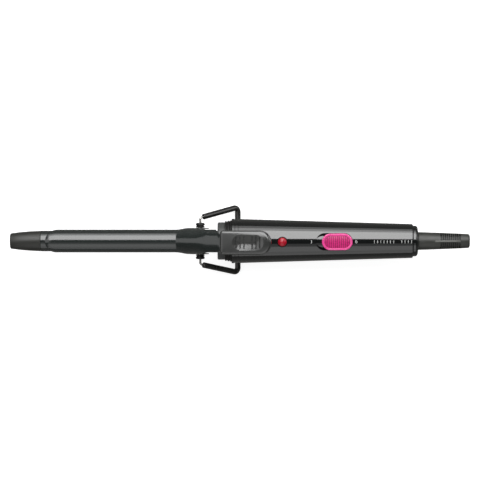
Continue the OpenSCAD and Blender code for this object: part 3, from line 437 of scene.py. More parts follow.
clip = pressed("clip_blade_visual", all_rows, 40, clip_point)
apply_modifier(clip, "SOLIDIFY", thickness=sheet, offset=1.0)
face_out(clip)
ease_edges(clip, sheet_edge)
settle(clip, "clip_blade_visual", 40)

ear_r = 3.6 * mm
ear_tail = 6.2 * mm
ear_outer = blade_high.y
ears = []
for side in (-1, 1):
    clear_selection()
    bpy.ops.mesh.primitive_cylinder_add(vertices=48, radius=ear_r, depth=sheet, rotation=(math.pi / 2, 0, 0),
                                        location=(hinge.x, side * (ear_outer - sheet / 2), axis_z))
    ear = bpy.context.object
    bpy.ops.object.transform_apply(location=True, rotation=True, scale=True)
    for vertex in ear.data.vertices:
        x, z = vertex.co.x - hinge.x, vertex.co.z - axis_z
        if x > 0.3 * mm and z > -1.9 * mm:
            vertex.co.x = hinge.x + x * ear_tail / ear_r
        if z > 1.6 * mm and x < 0.5 * mm:
            vertex.co.x = hinge.x + x * 2.4
    ease_edges(ear, sheet_edge)
    ears.append(settle(ear, f"ear_{side}", 40))
join_to(clip, ears)
settle(clip, "clip_blade_visual", 40)
dress(clip, coat_finish)
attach(clip, "clip")
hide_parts("clip_blade")

# ---- Thumb pad ----
# A moulded lever pad in fine-textured dark plastic, square at the front and round at the rear. The
# tang is held in its slot by two screws. A shallow oval recess has six grooves for the thumb.

pad_length = 36.7 * mm
pad_half = (pad_high.y - pad_low.y) / 2
pad_thick = 5.6 * mm
pad_start = 0.5 * mm
pad_corner = 2.0 * mm
recess_half = (11.1 * mm, 5.6 * mm)
recess_middle = pad_start + 20.3 * mm
recess_deep = 1.35 * mm
recess_lip = 0.1 * mm
groove_pitch = 2.75 * mm
groove_width = 0.9 * mm


def pick(piece, kind, test):
    """In edit mode, selects only the faces or edges whose middle passes a test."""
    mesh = bmesh.from_edit_mesh(piece.data)
    bpy.ops.mesh.select_all(action="DESELECT")
    if kind == "faces":
        for face in mesh.faces:
            face.select_set(test(face.calc_center_median(), face.normal))
    else:
        for edge in mesh.edges:
            a, b = edge.verts[0].co, edge.verts[1].co
            edge.select_set(test((a + b) / 2, (b - a).normalized()))
    mesh.select_flush_mode()
    bmesh.update_edit_mesh(piece.data)


def block(low, high):
    """A box primitive between two corners, with its place in its mesh."""
    clear_selection()
    low, high = Vector(low), Vector(high)
    bpy.ops.mesh.primitive_cube_add(size=1.0, location=(low + high) / 2)
    piece = bpy.context.object
    piece.scale = high - low
    bpy.ops.object.transform_apply(location=True, rotation=True, scale=True)
    return piece


def slab(name, corners, stations, sides=64, smooth=32.0):
    """A slab with four rounded corners. Each corner is (x, y, radius), from +X+Y anticlockwise;
    each station is (z, how far its outline lies inside the corners' own)."""
    piece = turned(name, [(i * mm, 1 * mm) for i in range(len(stations))], sides=sides, axis="Z")
    quarter = sides // 4
    for vertex in piece.data.vertices:
        index = round(math.atan2(vertex.co.y, vertex.co.x) / math.tau * sides) % sides
        corner_x, corner_y, radius = corners[index // quarter]
        angle = math.pi / 2 * (index // quarter + index % quarter / (quarter - 1))
        z, inset = stations[round(vertex.co.z / mm)]
        vertex.co = (corner_x + (radius - inset) * math.cos(angle),
                     corner_y + (radius - inset) * math.sin(angle), z)
    face_out(piece)
    return settle(piece, name, smooth)


def along_x(x, half_length, half_width):
    """Corners of a slot shape along X."""
    left, right = x - half_length + half_width, x + half_length - half_width
    return [(right, 0, half_width), (left, 0, half_width), (left, 0, half_width), (right, 0, half_width)]


def along_y(x, half_length, half_width):
    """Corners of a slot shape along Y."""
    end = half_length - half_width
    return [(x, end, half_width), (x, end, half_width), (x, -end, half_width), (x, -end, half_width)]


def top_round(z, radius, steps=5):
    """Stations that round a slab's top edge."""
    angles = [math.pi / 2 * i / steps for i in range(steps + 1)]
    return [(z - radius * (1 - math.sin(a)), radius * (1 - math.cos(a))) for a in angles]


def foot_round(z, radius, steps=4):
    """Stations that round a slab's bottom edge."""
    angles = [math.pi / 2 * i / steps for i in range(steps + 1)]
    return [(z + radius * (1 - math.cos(a)), radius * (1 - math.sin(a))) for a in angles]


def cut(piece, tool):
    """Takes one piece's shape out of another, and throws the tool away."""
    leave_edit()
    apply_modifier(piece, "BOOLEAN", operation="DIFFERENCE", solver="EXACT", object=tool)
    bpy.data.objects.remove(tool)


def crown_top(piece):
    """Rounds the pad's top down to its sides, and more so towards its rear end."""
    take_up(piece)
    bpy.ops.object.mode_set(mode="EDIT")
    for i in range(-7, 8):
        bpy.ops.mesh.select_all(action="SELECT")
        bpy.ops.mesh.bisect(plane_co=(0, i * 1.1 * mm, 0), plane_no=(0, 1, 0), threshold=1e-7)
    for i in range(1, 16):
        bpy.ops.mesh.select_all(action="SELECT")
        bpy.ops.mesh.bisect(plane_co=(pad_start + i * 2.35 * mm, 0, 0), plane_no=(1, 0, 0), threshold=1e-7)
    bpy.ops.object.mode_set(mode="OBJECT")
    for vertex in piece.data.vertices:
        x, y, z = vertex.co
        share = ease((z - 2.4 * mm) / (pad_thick - 2.4 * mm))
        along = (x - pad_start) / pad_length
        vertex.co.z -= share * (mix(0.4, 1.3, along) * mm * (y / pad_half) ** 2 + 1.2 * mm * along ** 5)


def pad_place(piece):
    """Turns a piece from the pad's own frame to its place on the lever."""
    leave_edit()
    for vertex in piece.data.vertices:
        x, y, z = vertex.co
        vertex.co = (knee_x + x * math.cos(pad_slope) - z * math.sin(pad_slope), y,
                     knee_z + x * math.sin(pad_slope) + z * math.cos(pad_slope))


rear_x = pad_start + pad_length - pad_half
front_x, front_y = pad_start + pad_corner, pad_half - pad_corner
pad = slab("thumb_pad_visual", [(rear_x, 0, pad_half), (front_x, front_y, pad_corner),
                                (front_x, -front_y, pad_corner), (rear_x, 0, pad_half)],
           foot_round(0, 0.5 * mm) + top_round(pad_thick, 1.7 * mm, 7), sides=96)
recess_floor = pad_thick - recess_deep


def scoop(across):
    """Height of the dished floor at a share of the recess's half width from its middle line."""
    return recess_floor + (recess_deep - recess_lip) * across ** 1.35


scoop_shares = [i / 9 for i in range(1, 10)]
recess = slab("recess", along_x(recess_middle, *recess_half),
              [(scoop(share), recess_half[1] * (1 - share)) for share in scoop_shares]
              + [(pad_thick - 0.1 * mm, -0.05 * mm), (pad_thick + 1 * mm, -1.0 * mm)])
cut(pad, recess)
for side in (-1, 1):
    for i in (1, 2, 3):
        x = recess_middle + side * (i + 0.05) * groove_pitch
        groove = slab("groove", along_y(x, recess_half[1] - (1.1 + 0.35 * (i == 3)) * mm, groove_width / 2),
                      [(recess_floor - 0.35 * mm, 0), (recess_floor + 1.6 * mm, 0)], sides=32)
        cut(pad, groove)
slot = block((-2 * mm, -tang_half - 0.1 * mm, pad_floor - 0.1 * mm),
             (tang_length + 0.6 * mm, tang_half + 0.1 * mm, pad_floor + sheet + 0.1 * mm))
cut(pad, slot)
for x in (12 * mm, 27 * mm):
    well = turned("well", [(-1 * mm, 2.2 * mm), (pad_floor, 2.2 * mm)], sides=32, axis="Z", at=(x, 0))
    cut(pad, well)
crown_top(pad)
pad_place(pad)
face_out(pad)
settle(pad, "thumb_pad_visual", 32)
pad_finish = finish("pad_plastic", (0.030, 0.031, 0.030), 0.22, shade=0.85, mottle=70, uneven=0.05,
                    grain=5200, relief=0.005, coat=0.9, coat_roughness=0.16)
dress(pad, pad_finish)
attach(pad, "clip")
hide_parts("thumb_pad")

# ---- Hinge bracket, pins and clip spring ----
# A band of coated sheet round the barrel carries a pad on each side for the pressed-in pins, and a
# seat on top for the coil spring that holds the clip shut.

bracket_low, bracket_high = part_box("hinge_bracket")
band_r = barrel_r + 0.8 * mm
band_lip = 0.12 * mm
bracket = turned("hinge_bracket_visual", [
    (bracket_low.x, barrel_r + 0.06 * mm), (bracket_low.x, band_r - band_lip),
    (bracket_low.x + band_lip, band_r), (bracket_high.x - band_lip, band_r),
    (bracket_high.x, band_r - band_lip), (bracket_high.x, barrel_r + 0.06 * mm),
    (bracket_low.x, barrel_r + 0.06 * mm)], sides=96, ring=True, at=(0, axis_z))
boss_r = 3.6 * mm
boss_edge = 0.25 * mm
seat_r = 3.3 * mm
fittings = []
for side in (-1, 1):
    end = side * bracket_high.y
    fittings.append(turned("boss", [
        (side * 6.6 * mm, boss_r), (end - side * boss_edge, boss_r), (end, boss_r - boss_edge)],
        sides=48, axis="Y", at=(hinge.x, axis_z)))
fittings.append(turned("seat", [
    (axis_z + 7.8 * mm, seat_r), (axis_z + 8.75 * mm, seat_r), (axis_z + 8.9 * mm, seat_r - 0.15 * mm),
    (axis_z + 8.9 * mm, 1.8 * mm), (axis_z + 10.7 * mm, 1.8 * mm), (axis_z + 10.9 * mm, 1.6 * mm)],
    sides=48, axis="Z", at=(hinge.x + 8 * mm, 0)))
join_to(bracket, fittings)
dress(bracket, coat_finish)
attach(bracket, "iron_body")
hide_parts("hinge_bracket")

steel_finish = finish("bright_wire", (0.62, 0.61, 0.59), 0.26, shade=0.8, mottle=160, uneven=0.07,
                      grain=3200, relief=0.004, metallic=1.0)
dress(frame["nodes"]["hinge_pins"], steel_finish)


def wire(name, points, radius, sides=16, hollow=0.0):
    """A wire or a hose of one radius along points, as a closed mesh."""
    data = bpy.data.curves.new(name, "CURVE")
    data.dimensions = "3D"
    data.twist_mode = "MINIMUM"
    spline = data.splines.new("POLY")
    spline.points.add(len(points) - 1)
    for target, point in zip(spline.points, points):
        target.co = (*point, 1)
    data.bevel_depth = radius
    data.bevel_resolution = sides // 4 - 2
    data.use_fill_caps = hollow == 0
    piece = bpy.data.objects.new(name, data)
    bpy.context.scene.collection.objects.link(piece)
    take_up(piece)
    bpy.ops.object.convert(target="MESH")
    piece = bpy.context.object
    if hollow:
        apply_modifier(piece, "SOLIDIFY", thickness=radius - hollow, offset=-1.0)
    face_out(piece)
    return settle(piece, name, 45)


spring_low, spring_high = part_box("clip_spring")
spring_wire = 0.45 * mm
coil_r = 2.55 * mm
turns = 5.5
per_turn = 28
steps = int(turns * per_turn)
coil = []
for i in range(steps + 1):
    a = math.radians(360 * i / per_turn)
    rise = ease(mix(0.08, 0.92, i / steps))
    coil.append((hinge.x + 8 * mm + coil_r * math.cos(a), coil_r * math.sin(a),
                 mix(spring_low.z + 0.1 * mm, spring_high.z - 0.1 * mm, rise)))
spring = wire("clip_spring_visual", coil, spring_wire, 16)
dress(spring, steel_finish)
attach(spring, "iron_body")
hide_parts("clip_spring")
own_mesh(spring)

# ---- Stand ----
# A bent steel wire whose two ends turn in the bushings, bare near the hinge and covered by
# heat-proof silicone sleeving along the legs and the bar. It folds under the handle.

sleeve_low, sleeve_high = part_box("stand_sleeve")
bushing_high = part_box("stand_bushings")[1]
wire_r = 0.8 * mm
sleeve_r = 2.05 * mm
bar_z = sleeve_low.z + sleeve_r
leg_run = Vector((sleeve_high.x - sleeve_r - hinge.x, 0, bar_z - axis_z))
leg_length = leg_run.length
leg_way = leg_run.normalized()
bar_half = 23.65 * mm
foot_half = 16.75 * mm
wire_end = bushing_high.y - 0.75 * mm
leg_angle = math.atan((bar_half - foot_half) / leg_length)


def in_stand(along, across):
    """A point of the stand's own plane: along its legs from the hinge, and across."""
    return hinge + along * leg_way + Vector((0, across, 0))


def corner(along, across, turn_from, turn_to, radius, steps=10):
    """The rounded corner of the wire between two headings, in degrees from the legs' direction."""
    a0, a1 = math.radians(turn_from), math.radians(turn_to)
    inset = radius * math.tan(abs(a1 - a0) / 2)
    side = 1 if a1 > a0 else -1
    start = (along - inset * math.cos(a0), across - inset * math.sin(a0))
    middle = (start[0] - side * radius * math.sin(a0), start[1] + side * radius * math.cos(a0))
    points = []
    for i in range(steps + 1):
        a = mix(a0, a1, i / steps)
        points.append(in_stand(middle[0] + side * radius * math.sin(a),
                               middle[1] - side * radius * math.cos(a)))
    return points


def both_sides(points):
    return points + [Vector((p.x, -p.y, p.z)) for p in reversed(points)]


leg_degrees = math.degrees(leg_angle)
bar_corner = corner(leg_length, bar_half, leg_degrees, -90, 2.7 * mm)
elbow = corner(0, foot_half, 90, leg_degrees, 1.7 * mm, 8)
stand_wire = wire("stand_wire_visual", both_sides([in_stand(0, wire_end)] + elbow + bar_corner), wire_r, 20)
dress(stand_wire, steel_finish)
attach(stand_wire, "stand")
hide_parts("stand_wire")

sleeve_start = 2.6 * mm
leg_start = in_stand(sleeve_start, foot_half + sleeve_start * math.tan(leg_angle))
leg_points = [leg_start.lerp(bar_corner[0], i / 12) for i in range(12)]
sleeve = wire("stand_sleeve_visual", both_sides(leg_points + bar_corner), sleeve_r, 28,
              hollow=wire_r + 0.06 * mm)
ease_edges(sleeve, 0.3 * mm, 3)
settle(sleeve, "stand_sleeve_visual", 40)
sleeve_finish = finish("silicone_sleeve", (0.009, 0.009, 0.0085), 0.30, shade=0.7, mottle=220, uneven=0.06,
                       grain=900, relief=0.012, coat=0.8, coat_roughness=0.22)
dress(sleeve, sleeve_finish)
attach(sleeve, "stand")
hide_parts("stand_sleeve")

bush_r = 3.15 * mm
bush_waist = 2.65 * mm
bush_start = bushing_high.y - 3.3 * mm
bush_end = bushing_high.y
bore_r = 1.55 * mm
black_finish = finish("matt_black_plastic", (0.004, 0.004, 0.004), 0.5, shade=0.75, mottle=120,
                      uneven=0.06, grain=3800, relief=0.010)
bushings = []
for side in (-1, 1):
    profile = [
        (bush_start, bore_r), (bush_start, bush_r - 0.3 * mm), (bush_start + 0.3 * mm, bush_r),
        (bush_start + 0.75 * mm, bush_r), (bush_start + 1.0 * mm, bush_waist),
        (bush_start + 1.4 * mm, bush_waist), (bush_start + 1.65 * mm, bush_r),
        *arc(bush_end - 0.9 * mm, bush_r - 0.9 * mm, 0.9 * mm, 90, 0, 6),
        (bush_end, wire_r + 0.05 * mm), (bush_end - 0.9 * mm, wire_r + 0.05 * mm),
        (bush_end - 0.9 * mm, bore_r), (bush_start, bore_r)]
    bushings.append(turned("bushing", [(side * y, r) for y, r in profile], sides=56, ring=True,
                           axis="Y", at=(hinge.x, axis_z)))
bushing = bushings[0]
join_to(bushing, bushings[1:])
settle(bushing, "stand_bushings_visual", 35)
dress(bushing, black_finish)
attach(bushing, "stand")
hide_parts("stand_bushings")

# ---- Nose ring and finned ring ----
# The nose ring is a satin grey moulding whose shank passes through the finned ring into the
# shells' front wall. The finned ring is a dead black spacer that keeps the heat off the hand.

fin_low, fin_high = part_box("fin_ring")
shell_low, shell_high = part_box("handle_upper")
nose_r = 13.4 * mm
nose_edge = 1.1 * mm
nose_bore = barrel_r + 0.2 * mm
shank_r = 11.5 * mm
nose = turned("nose_ring_visual", [
    (nose_low.x + 0.6 * mm, nose_bore), (nose_low.x + 0.1 * mm, nose_bore + 0.5 * mm),
    (nose_low.x, nose_bore + 1.1 * mm),
    *arc(nose_low.x + nose_edge, nose_r - nose_edge, nose_edge, 180, 90, 8),
    (fin_low.x - 0.25 * mm, nose_r), (fin_low.x, nose_r - 0.25 * mm), (fin_low.x, shank_r),
    (nose_high.x, shank_r), (nose_high.x, 9.6 * mm), (nose_low.x + 2 * mm, 9.6 * mm),
    (nose_low.x + 2 * mm, nose_bore), (nose_low.x + 0.6 * mm, nose_bore)],
    sides=160, ring=True, at=(0, axis_z))
nose_finish = finish("nose_plastic", (0.055, 0.057, 0.057), 0.30, shade=0.85, mottle=80, uneven=0.05,
                     grain=4200, relief=0.006)
dress(nose, nose_finish)
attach(nose, "iron_body")
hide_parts("nose_ring")

fin_r = (fin_high.z - fin_low.z) / 2
fin_groove = 0.5 * mm
fin_count = 3
fin_step = (fin_high.x - fin_low.x) / (2 * fin_count - 1)
fin_profile = [(fin_low.x + 0.02 * mm, shank_r + 0.05 * mm)]
for i in range(fin_count):
    start = fin_low.x + 2 * i * fin_step + 0.02 * mm
    end = start + 1.3 * fin_step if i < fin_count - 1 else fin_high.x - 0.02 * mm
    rim = fin_r - (fin_count - 1 - i) * 0.32 * mm
    fin_profile += [(start, rim - fin_groove), (start, rim - 0.2 * mm), (start + 0.2 * mm, rim),
                    (end - 0.2 * mm, rim), (end, rim - 0.2 * mm), (end, rim - fin_groove)]
fin_profile += [(fin_high.x - 0.02 * mm, shank_r + 0.05 * mm), fin_profile[0]]
fins = turned("fin_ring_visual", fin_profile, sides=128, ring=True, at=(0, axis_z))
dress(fins, black_finish)
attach(fins, "iron_body")
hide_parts("fin_ring")

# ---- Handle shells ----
# Two polished black mouldings, split along the sides and drawn together by two screws from below.
# The upper one has the lamp's hole and the switch's pocket; both have two fine heat grooves.

knob_low, knob_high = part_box("switch_knob")
lens_low, lens_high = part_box("pilot_lens")
front_r = (shell_high.y - shell_low.y) / 2
rear_r = 12.2 * mm
shell_wall = 1.8 * mm
front_edge = 0.45 * mm
rear_edge = 0.7 * mm
travel = joints["switch_slide"]["range_m"][1]


def shell_r(x):
    return mix(front_r, rear_r, (x - shell_low.x) / (shell_high.x - shell_low.x))


def shell_profile():
    front, rear = shell_low.x, shell_high.x
    outer = [(front, shank_r + 0.05 * mm), (front, front_r - front_edge)]
    outer += arc(front + front_edge, front_r - front_edge, front_edge, 180, 95, 5)[1:]
    for groove in (1.9 * mm, 4.4 * mm):
        start = front + groove
        end = start + 0.8 * mm
        outer += [(start, shell_r(start)), (start + 0.15 * mm, shell_r(start) - 0.3 * mm),
                  (end - 0.15 * mm, shell_r(start) - 0.3 * mm), (end, shell_r(end))]
    body_start = front + 6 * mm
    body_rows = 60
    for i in range(body_rows + 1):
        x = mix(body_start, rear - 1.2 * mm, i / body_rows)
        outer.append((x, shell_r(x)))
    outer += arc(rear - rear_edge, rear_r - rear_edge, rear_edge, 82, 0, 6)
    inner = [(rear, rear_r - shell_wall), (front + shell_wall, front_r - shell_wall),
             (front + shell_wall, shank_r + 0.05 * mm)]
    return outer + inner + [outer[0]]


def keep_side(piece, side):
    """Cuts a turned shell along its middle plane and keeps one half as a closed solid."""
    take_up(piece)
    bpy.ops.object.mode_set(mode="EDIT")
    bpy.ops.mesh.select_all(action="SELECT")
    bpy.ops.mesh.bisect(plane_co=(0, 0, axis_z + side * 0.06 * mm), plane_no=(0, 0, side),
                        clear_inner=True, use_fill=True, threshold=1e-7)
    bpy.ops.object.mode_set(mode="OBJECT")


gloss_finish = finish("handle_gloss", (0.0036, 0.0044, 0.0044), 0.13, shade=0.85, mottle=28, uneven=0.025,
                      grain=420, relief=0.0012, coat=1.0, coat_roughness=0.04)
upper = turned("handle_upper_visual", shell_profile(), sides=192, ring=True, at=(0, axis_z))
keep_side(upper, 1)
lower = turned("handle_lower_visual", shell_profile(), sides=192, ring=True, at=(0, axis_z))
keep_side(lower, -1)

lens_x = (lens_low.x + lens_high.x) / 2
lens_hole_r = 3.15 * mm
lamp_hole = turned("lamp_hole", [
    (axis_z + 8 * mm, lens_hole_r), (axis_z + shell_r(lens_x) - 0.6 * mm, lens_hole_r),
    (axis_z + shell_r(lens_x) - 0.6 * mm, lens_hole_r + 0.6 * mm),
    (axis_z + 20 * mm, lens_hole_r + 0.6 * mm)], sides=64, axis="Z", at=(lens_x, 0))
cut(upper, lamp_hole)
switch_x = (knob_low.x + knob_high.x - travel) / 2
pocket_gap = 0.3 * mm
pocket_half = ((knob_high.x - knob_low.x + travel) / 2 + pocket_gap, knob_high.y + pocket_gap)
pocket_floor = knob_low.z - 0.2 * mm
pocket_shape = along_x(switch_x, *pocket_half)
cut(upper, slab("pocket", pocket_shape, [(pocket_floor, 0), (axis_z + 30 * mm, 0)], sides=96))
tray_wall = 1.0 * mm
tray = slab("tray", along_x(switch_x, pocket_half[0] + tray_wall, pocket_half[1] + tray_wall),
            [(pocket_floor - 0.8 * mm, 0), (axis_z + front_r, 0), (axis_z + front_r, tray_wall),
             (pocket_floor, tray_wall)], sides=96)
take_up(tray)
bpy.ops.object.mode_set(mode="EDIT")
for i in range(-9, 10):
    bpy.ops.mesh.select_all(action="SELECT")
    bpy.ops.mesh.bisect(plane_co=(0, i * 0.65 * mm, 0), plane_no=(0, 1, 0), threshold=1e-7)
bpy.ops.object.mode_set(mode="OBJECT")
floor_r = pocket_floor - axis_z
for vertex in tray.data.vertices:
    if vertex.co.z > pocket_floor + 0.1 * mm:
        under = (shell_r(vertex.co.x) - 1.2 * mm) ** 2 - vertex.co.y ** 2
        vertex.co.z = max(pocket_floor + 0.02 * mm, axis_z + math.sqrt(under))
    else:
        vertex.co.z -= floor_r - math.sqrt(floor_r ** 2 - vertex.co.y ** 2)
cut(tray, slab("post_slot", along_x(switch_x, 4.4 * mm, 1.5 * mm),
               [(pocket_floor - 4 * mm, 0), (pocket_floor + 2 * mm, 0)], sides=32))
join_to(upper, [tray])
settle(upper, "handle_upper_visual", 30)
dress(upper, gloss_finish)
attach(upper, "iron_body")
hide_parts("handle_upper")

screw_low, screw_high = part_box("handle_screws")
screw_head_r = 2.7 * mm
screw_places = (screw_low.x + screw_head_r, screw_high.x - screw_head_r)
for x in screw_places:
    mouth = turned("mouth", [
        (axis_z - 20 * mm, 3.4 * mm), (axis_z - shell_r(x) + 0.35 * mm, 3.0 * mm),
        (axis_z - 8 * mm, 3.0 * mm)], sides=48, axis="Z", at=(x, 0))
    cut(lower, mouth)
settle(lower, "handle_lower_visual", 30)
wells = []
for x in screw_places:
    rim = axis_z - shell_r(x) + 1.2 * mm
    wells.append(turned("well", [
        (rim, 3.0 * mm), (rim, 3.9 * mm), (axis_z - 0.6 * mm, 3.6 * mm), (axis_z - 0.6 * mm, 1.6 * mm),
        (axis_z - shell_r(x) + 6.4 * mm, 1.6 * mm), (axis_z - shell_r(x) + 6.4 * mm, 3.0 * mm),
        (rim, 3.0 * mm)], sides=48, ring=True, axis="Z", at=(x, 0)))
join_to(lower, wells)
settle(lower, "handle_lower_visual", 30)
dress(lower, gloss_finish)
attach(lower, "iron_body")
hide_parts("handle_lower")

# ---- Printed marks ----
# Pad-printed in pale grey on the upper shell: a stroke for on, a ring for off, and a plain row of
# short strokes behind the switch.

print_finish = finish("print_ink", (0.50, 0.51, 0.50), 0.45, shade=0.85, mottle=900, uneven=0.06,
                      grain=6000, relief=0.003)
print_lift = 0.03 * mm
marks = []


def on_shell(piece):
    """Lays a flat mark on the round top of the shell."""
    for vertex in piece.data.vertices:
        x, y = vertex.co.xy
        vertex.co.z = axis_z + math.sqrt(shell_r(x) ** 2 - y ** 2) + print_lift
    marks.append(piece)


def printed_stroke(x, width, height):
    clear_selection()
    bpy.ops.mesh.primitive_grid_add(x_subdivisions=2, y_subdivisions=6, size=1.0, location=(x, 0, 0))
    piece = bpy.context.object
    piece.scale = (width, height, 1)
    bpy.ops.object.transform_apply(location=True, rotation=True, scale=True)
    on_shell(piece)


def printed_ring(x, width, height, line):
    clear_selection()
    bpy.ops.mesh.primitive_circle_add(vertices=32, radius=0.5, fill_type="NGON", location=(x, 0, 0))
    piece = bpy.context.object
    piece.scale = (width, height, 1)
    bpy.ops.object.transform_apply(location=True, rotation=True, scale=True)
    bpy.ops.object.mode_set(mode="EDIT")
    bpy.ops.mesh.select_all(action="SELECT")
    bpy.ops.mesh.inset(thickness=line)
    bpy.ops.mesh.delete(type="FACE")
    bpy.ops.object.mode_set(mode="OBJECT")
    on_shell(piece)


printed_stroke(switch_x - 16.4 * mm, 0.55 * mm, 2.3 * mm)
printed_ring(switch_x + 15.6 * mm, 1.5 * mm, 2.3 * mm, 0.42 * mm)
row_start = switch_x + 28.5 * mm
for i in range(7):
    printed_stroke(row_start + i * 2.3 * mm, 0.5 * mm, 2.1 * mm)
for i in range(4):
    printed_stroke(row_start + 19.6 * mm + i * 2.3 * mm, 0.5 * mm, 2.1 * mm)
printing = marks[0]
join_to(printing, marks[1:])
settle(printing, "printed_marks", 30)
apply_modifier(printing, "SOLIDIFY", thickness=0.025 * mm, offset=-1.0)
dress(printing, print_finish)
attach(printing, "iron_body")

# ---- Rear cap ----
# A round moulding in the handle's black plastic, pushed into the shells' rear end. Its
# bore carries the journal of the swivelling cord entry.

cap_low, cap_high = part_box("rear_cap")
cap_r = (cap_high.z - cap_low.z) / 2
cap_edge = 2.0 * mm
journal_r = 6.35 * mm
cap = turned("rear_cap_visual", [
    (cap_low.x, journal_r), (cap_low.x, rear_r - shell_wall - 0.05 * mm),
    (shell_high.x + 0.03 * mm, rear_r - shell_wall - 0.05 * mm), (shell_high.x + 0.03 * mm, cap_r - 0.2 * mm),
    (shell_high.x + 0.2 * mm, cap_r),
    *arc(cap_high.x - cap_edge, cap_r - cap_edge, cap_edge, 80, 0, 9),
    (cap_high.x, journal_r + 0.3 * mm), (cap_high.x - 0.3 * mm, journal_r), (cap_low.x, journal_r)],
    sides=128, ring=True, at=(0, axis_z))
dress(cap, gloss_finish)
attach(cap, "iron_body")
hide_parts("rear_cap")

# ---- Pilot lens ----
# A clear red plastic lens, pressed in from inside, with a low dome and a step round it.

lens_r = 3.1 * mm
dome = 1.5 * mm
dome_sphere = (lens_r ** 2 + dome ** 2) / (2 * dome)
dome_base = lens_high.z - dome
dome_rings = []
for i in range(8):
    r = lens_r * 0.93 * math.cos(math.radians(i * 12.2))
    dome_rings.append((lens_high.z - dome_sphere + math.sqrt(dome_sphere ** 2 - r ** 2), r))
lens = turned("pilot_lens_visual", [
    (lens_low.z, lens_r + 1.0 * mm), (lens_low.z + 0.8 * mm, lens_r + 1.0 * mm),
    (lens_low.z + 0.8 * mm, lens_r), (dome_base - 0.25 * mm, lens_r), (dome_base, lens_r * 0.96),
    *dome_rings], sides=64, axis="Z", at=(lens_x, 0))
lens_finish = finish("red_lens", (0.42, 0.004, 0.020), 0.34, shade=0.75, mottle=500, uneven=0.04,
                     grain=900, relief=0.003, coat=0.25, coat_roughness=0.22)
lens_shader = lens_finish.node_tree.nodes["Principled BSDF"]
lens_shader.inputs["Transmission Weight"].default_value = 0.25
lens_shader.inputs["Emission Color"].default_value = (0.6, 0.0, 0.02, 1)
lens_shader.inputs["Emission Strength"].default_value = 0.12
dress(lens, lens_finish)
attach(lens, "iron_body")
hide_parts("pilot_lens")

# ---- Switch knob ----
# A magenta moulding that snaps on the slider's post: a low stadium with a polished rim and twelve fine ribs across
# its crowned top. The rim is coloured paler as a painted highlight, and the dish floor between the ribs darker as
# painted shade.

knob_middle = (knob_low.x + knob_high.x) / 2
knob_half = ((knob_high.x - knob_low.x) / 2, knob_high.y)
crest = knob_high.z
crest_r = crest - axis_z
rim_crown = 0.45 * mm
dish_inset = 1.6 * mm
dish_deep = 0.55 * mm
rib_count = 12
rib_pitch = 1.43 * mm
rib_width = 0.72 * mm
rib_rise = 0.5 * mm


def crowned(piece):
    """Bends a flat-topped piece down on both sides, to the round of the handle."""
    take_up(piece)
    bpy.ops.object.mode_set(mode="EDIT")
    for i in range(-6, 7):
        bpy.ops.mesh.select_all(action="SELECT")
        bpy.ops.mesh.bisect(plane_co=(0, i * 0.85 * mm, 0), plane_no=(0, 1, 0), threshold=1e-7)
    bpy.ops.object.mode_set(mode="OBJECT")
    for vertex in piece.data.vertices:
        share = (vertex.co.z - knob_low.z) / (crest - knob_low.z)
        vertex.co.z -= share * (crest_r - math.sqrt(crest_r ** 2 - vertex.co.y ** 2))


dish_floor = crest - dish_deep
knob = slab("switch_knob_visual", along_x(knob_middle, *knob_half),
            [(knob_low.z, 0)] + top_round(crest, rim_crown)
            + [(crest, rim_crown + 0.12 * mm), (dish_floor + 0.08 * mm, dish_inset - 0.3 * mm),
               (dish_floor, dish_inset), (dish_floor - 0.45 * mm, dish_inset + 0.1 * mm)], sides=96)
well_half = (knob_half[0] - dish_inset - 0.15 * mm, knob_half[1] - dish_inset - 0.15 * mm)
ribs = []
for i in range(rib_count):
    offset = (i - (rib_count - 1) / 2) * rib_pitch
    straight = well_half[0] - well_half[1]
    past_end = max(0.0, abs(offset) + rib_width / 2 - straight)
    reach = math.sqrt(max(0.0, well_half[1] ** 2 - past_end ** 2))
    if reach > 1.0 * mm:
        ribs.append(slab("rib", along_y(knob_middle + offset, reach, rib_width / 2),
                         [(dish_floor - 0.6 * mm, 0)]
                         + top_round(dish_floor - 0.45 * mm + rib_rise, 0.2 * mm, 3),
                         sides=24))
join_to(knob, ribs)
crowned(knob)
settle(knob, "switch_knob_visual", 35)
knob_finish = finish("knob_plastic", (0.66, 0.020, 0.200), 0.30, shade=0.9, mottle=220, uneven=0.05,
                     grain=3600, relief=0.006, coat=0.25)
dress(knob, knob_finish)
# Second material: the dish floor between the ribs is coloured darker as painted shade.
knob.data.materials.append(finish("knob_valley_painted_shade", (0.36, 0.008, 0.105), 0.45, shade=0.85, mottle=220))
# Third material: the rim's paler pink is a painted highlight, on top of its real gloss.
knob.data.materials.append(finish("knob_rim_painted_highlight", (0.78, 0.060, 0.290), 0.20, shade=0.95, mottle=220, uneven=0.03,
                                  coat=0.6, coat_roughness=0.12))
# Picks the painted-shade faces (the dish floor between the ribs) and the painted-highlight faces (the rim).
for face in knob.data.polygons:
    x, y, z = face.center
    level = z + crest_r - math.sqrt(crest_r ** 2 - y ** 2)
    past_middle = max(0.0, abs(x - knob_middle) - (knob_half[0] - knob_half[1]))
    if face.normal.z > 0.8 and level < dish_floor - 0.25 * mm:
        face.material_index = 1
    elif level > dish_floor and math.hypot(past_middle, y) > knob_half[1] - dish_inset:
        face.material_index = 2
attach(knob, "switch_button")
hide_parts("switch_knob")

# ---- Strain relief ----
# A tapered moulding in satin flexible plastic that turns in the rear cap. Four rows of short slots let it bend; a
# ridge is left along the top and the bottom, and a web along each side. The bore is empty for the lead. The slot
# floors are coloured near black as painted shade, and the ridges paler as a painted highlight.

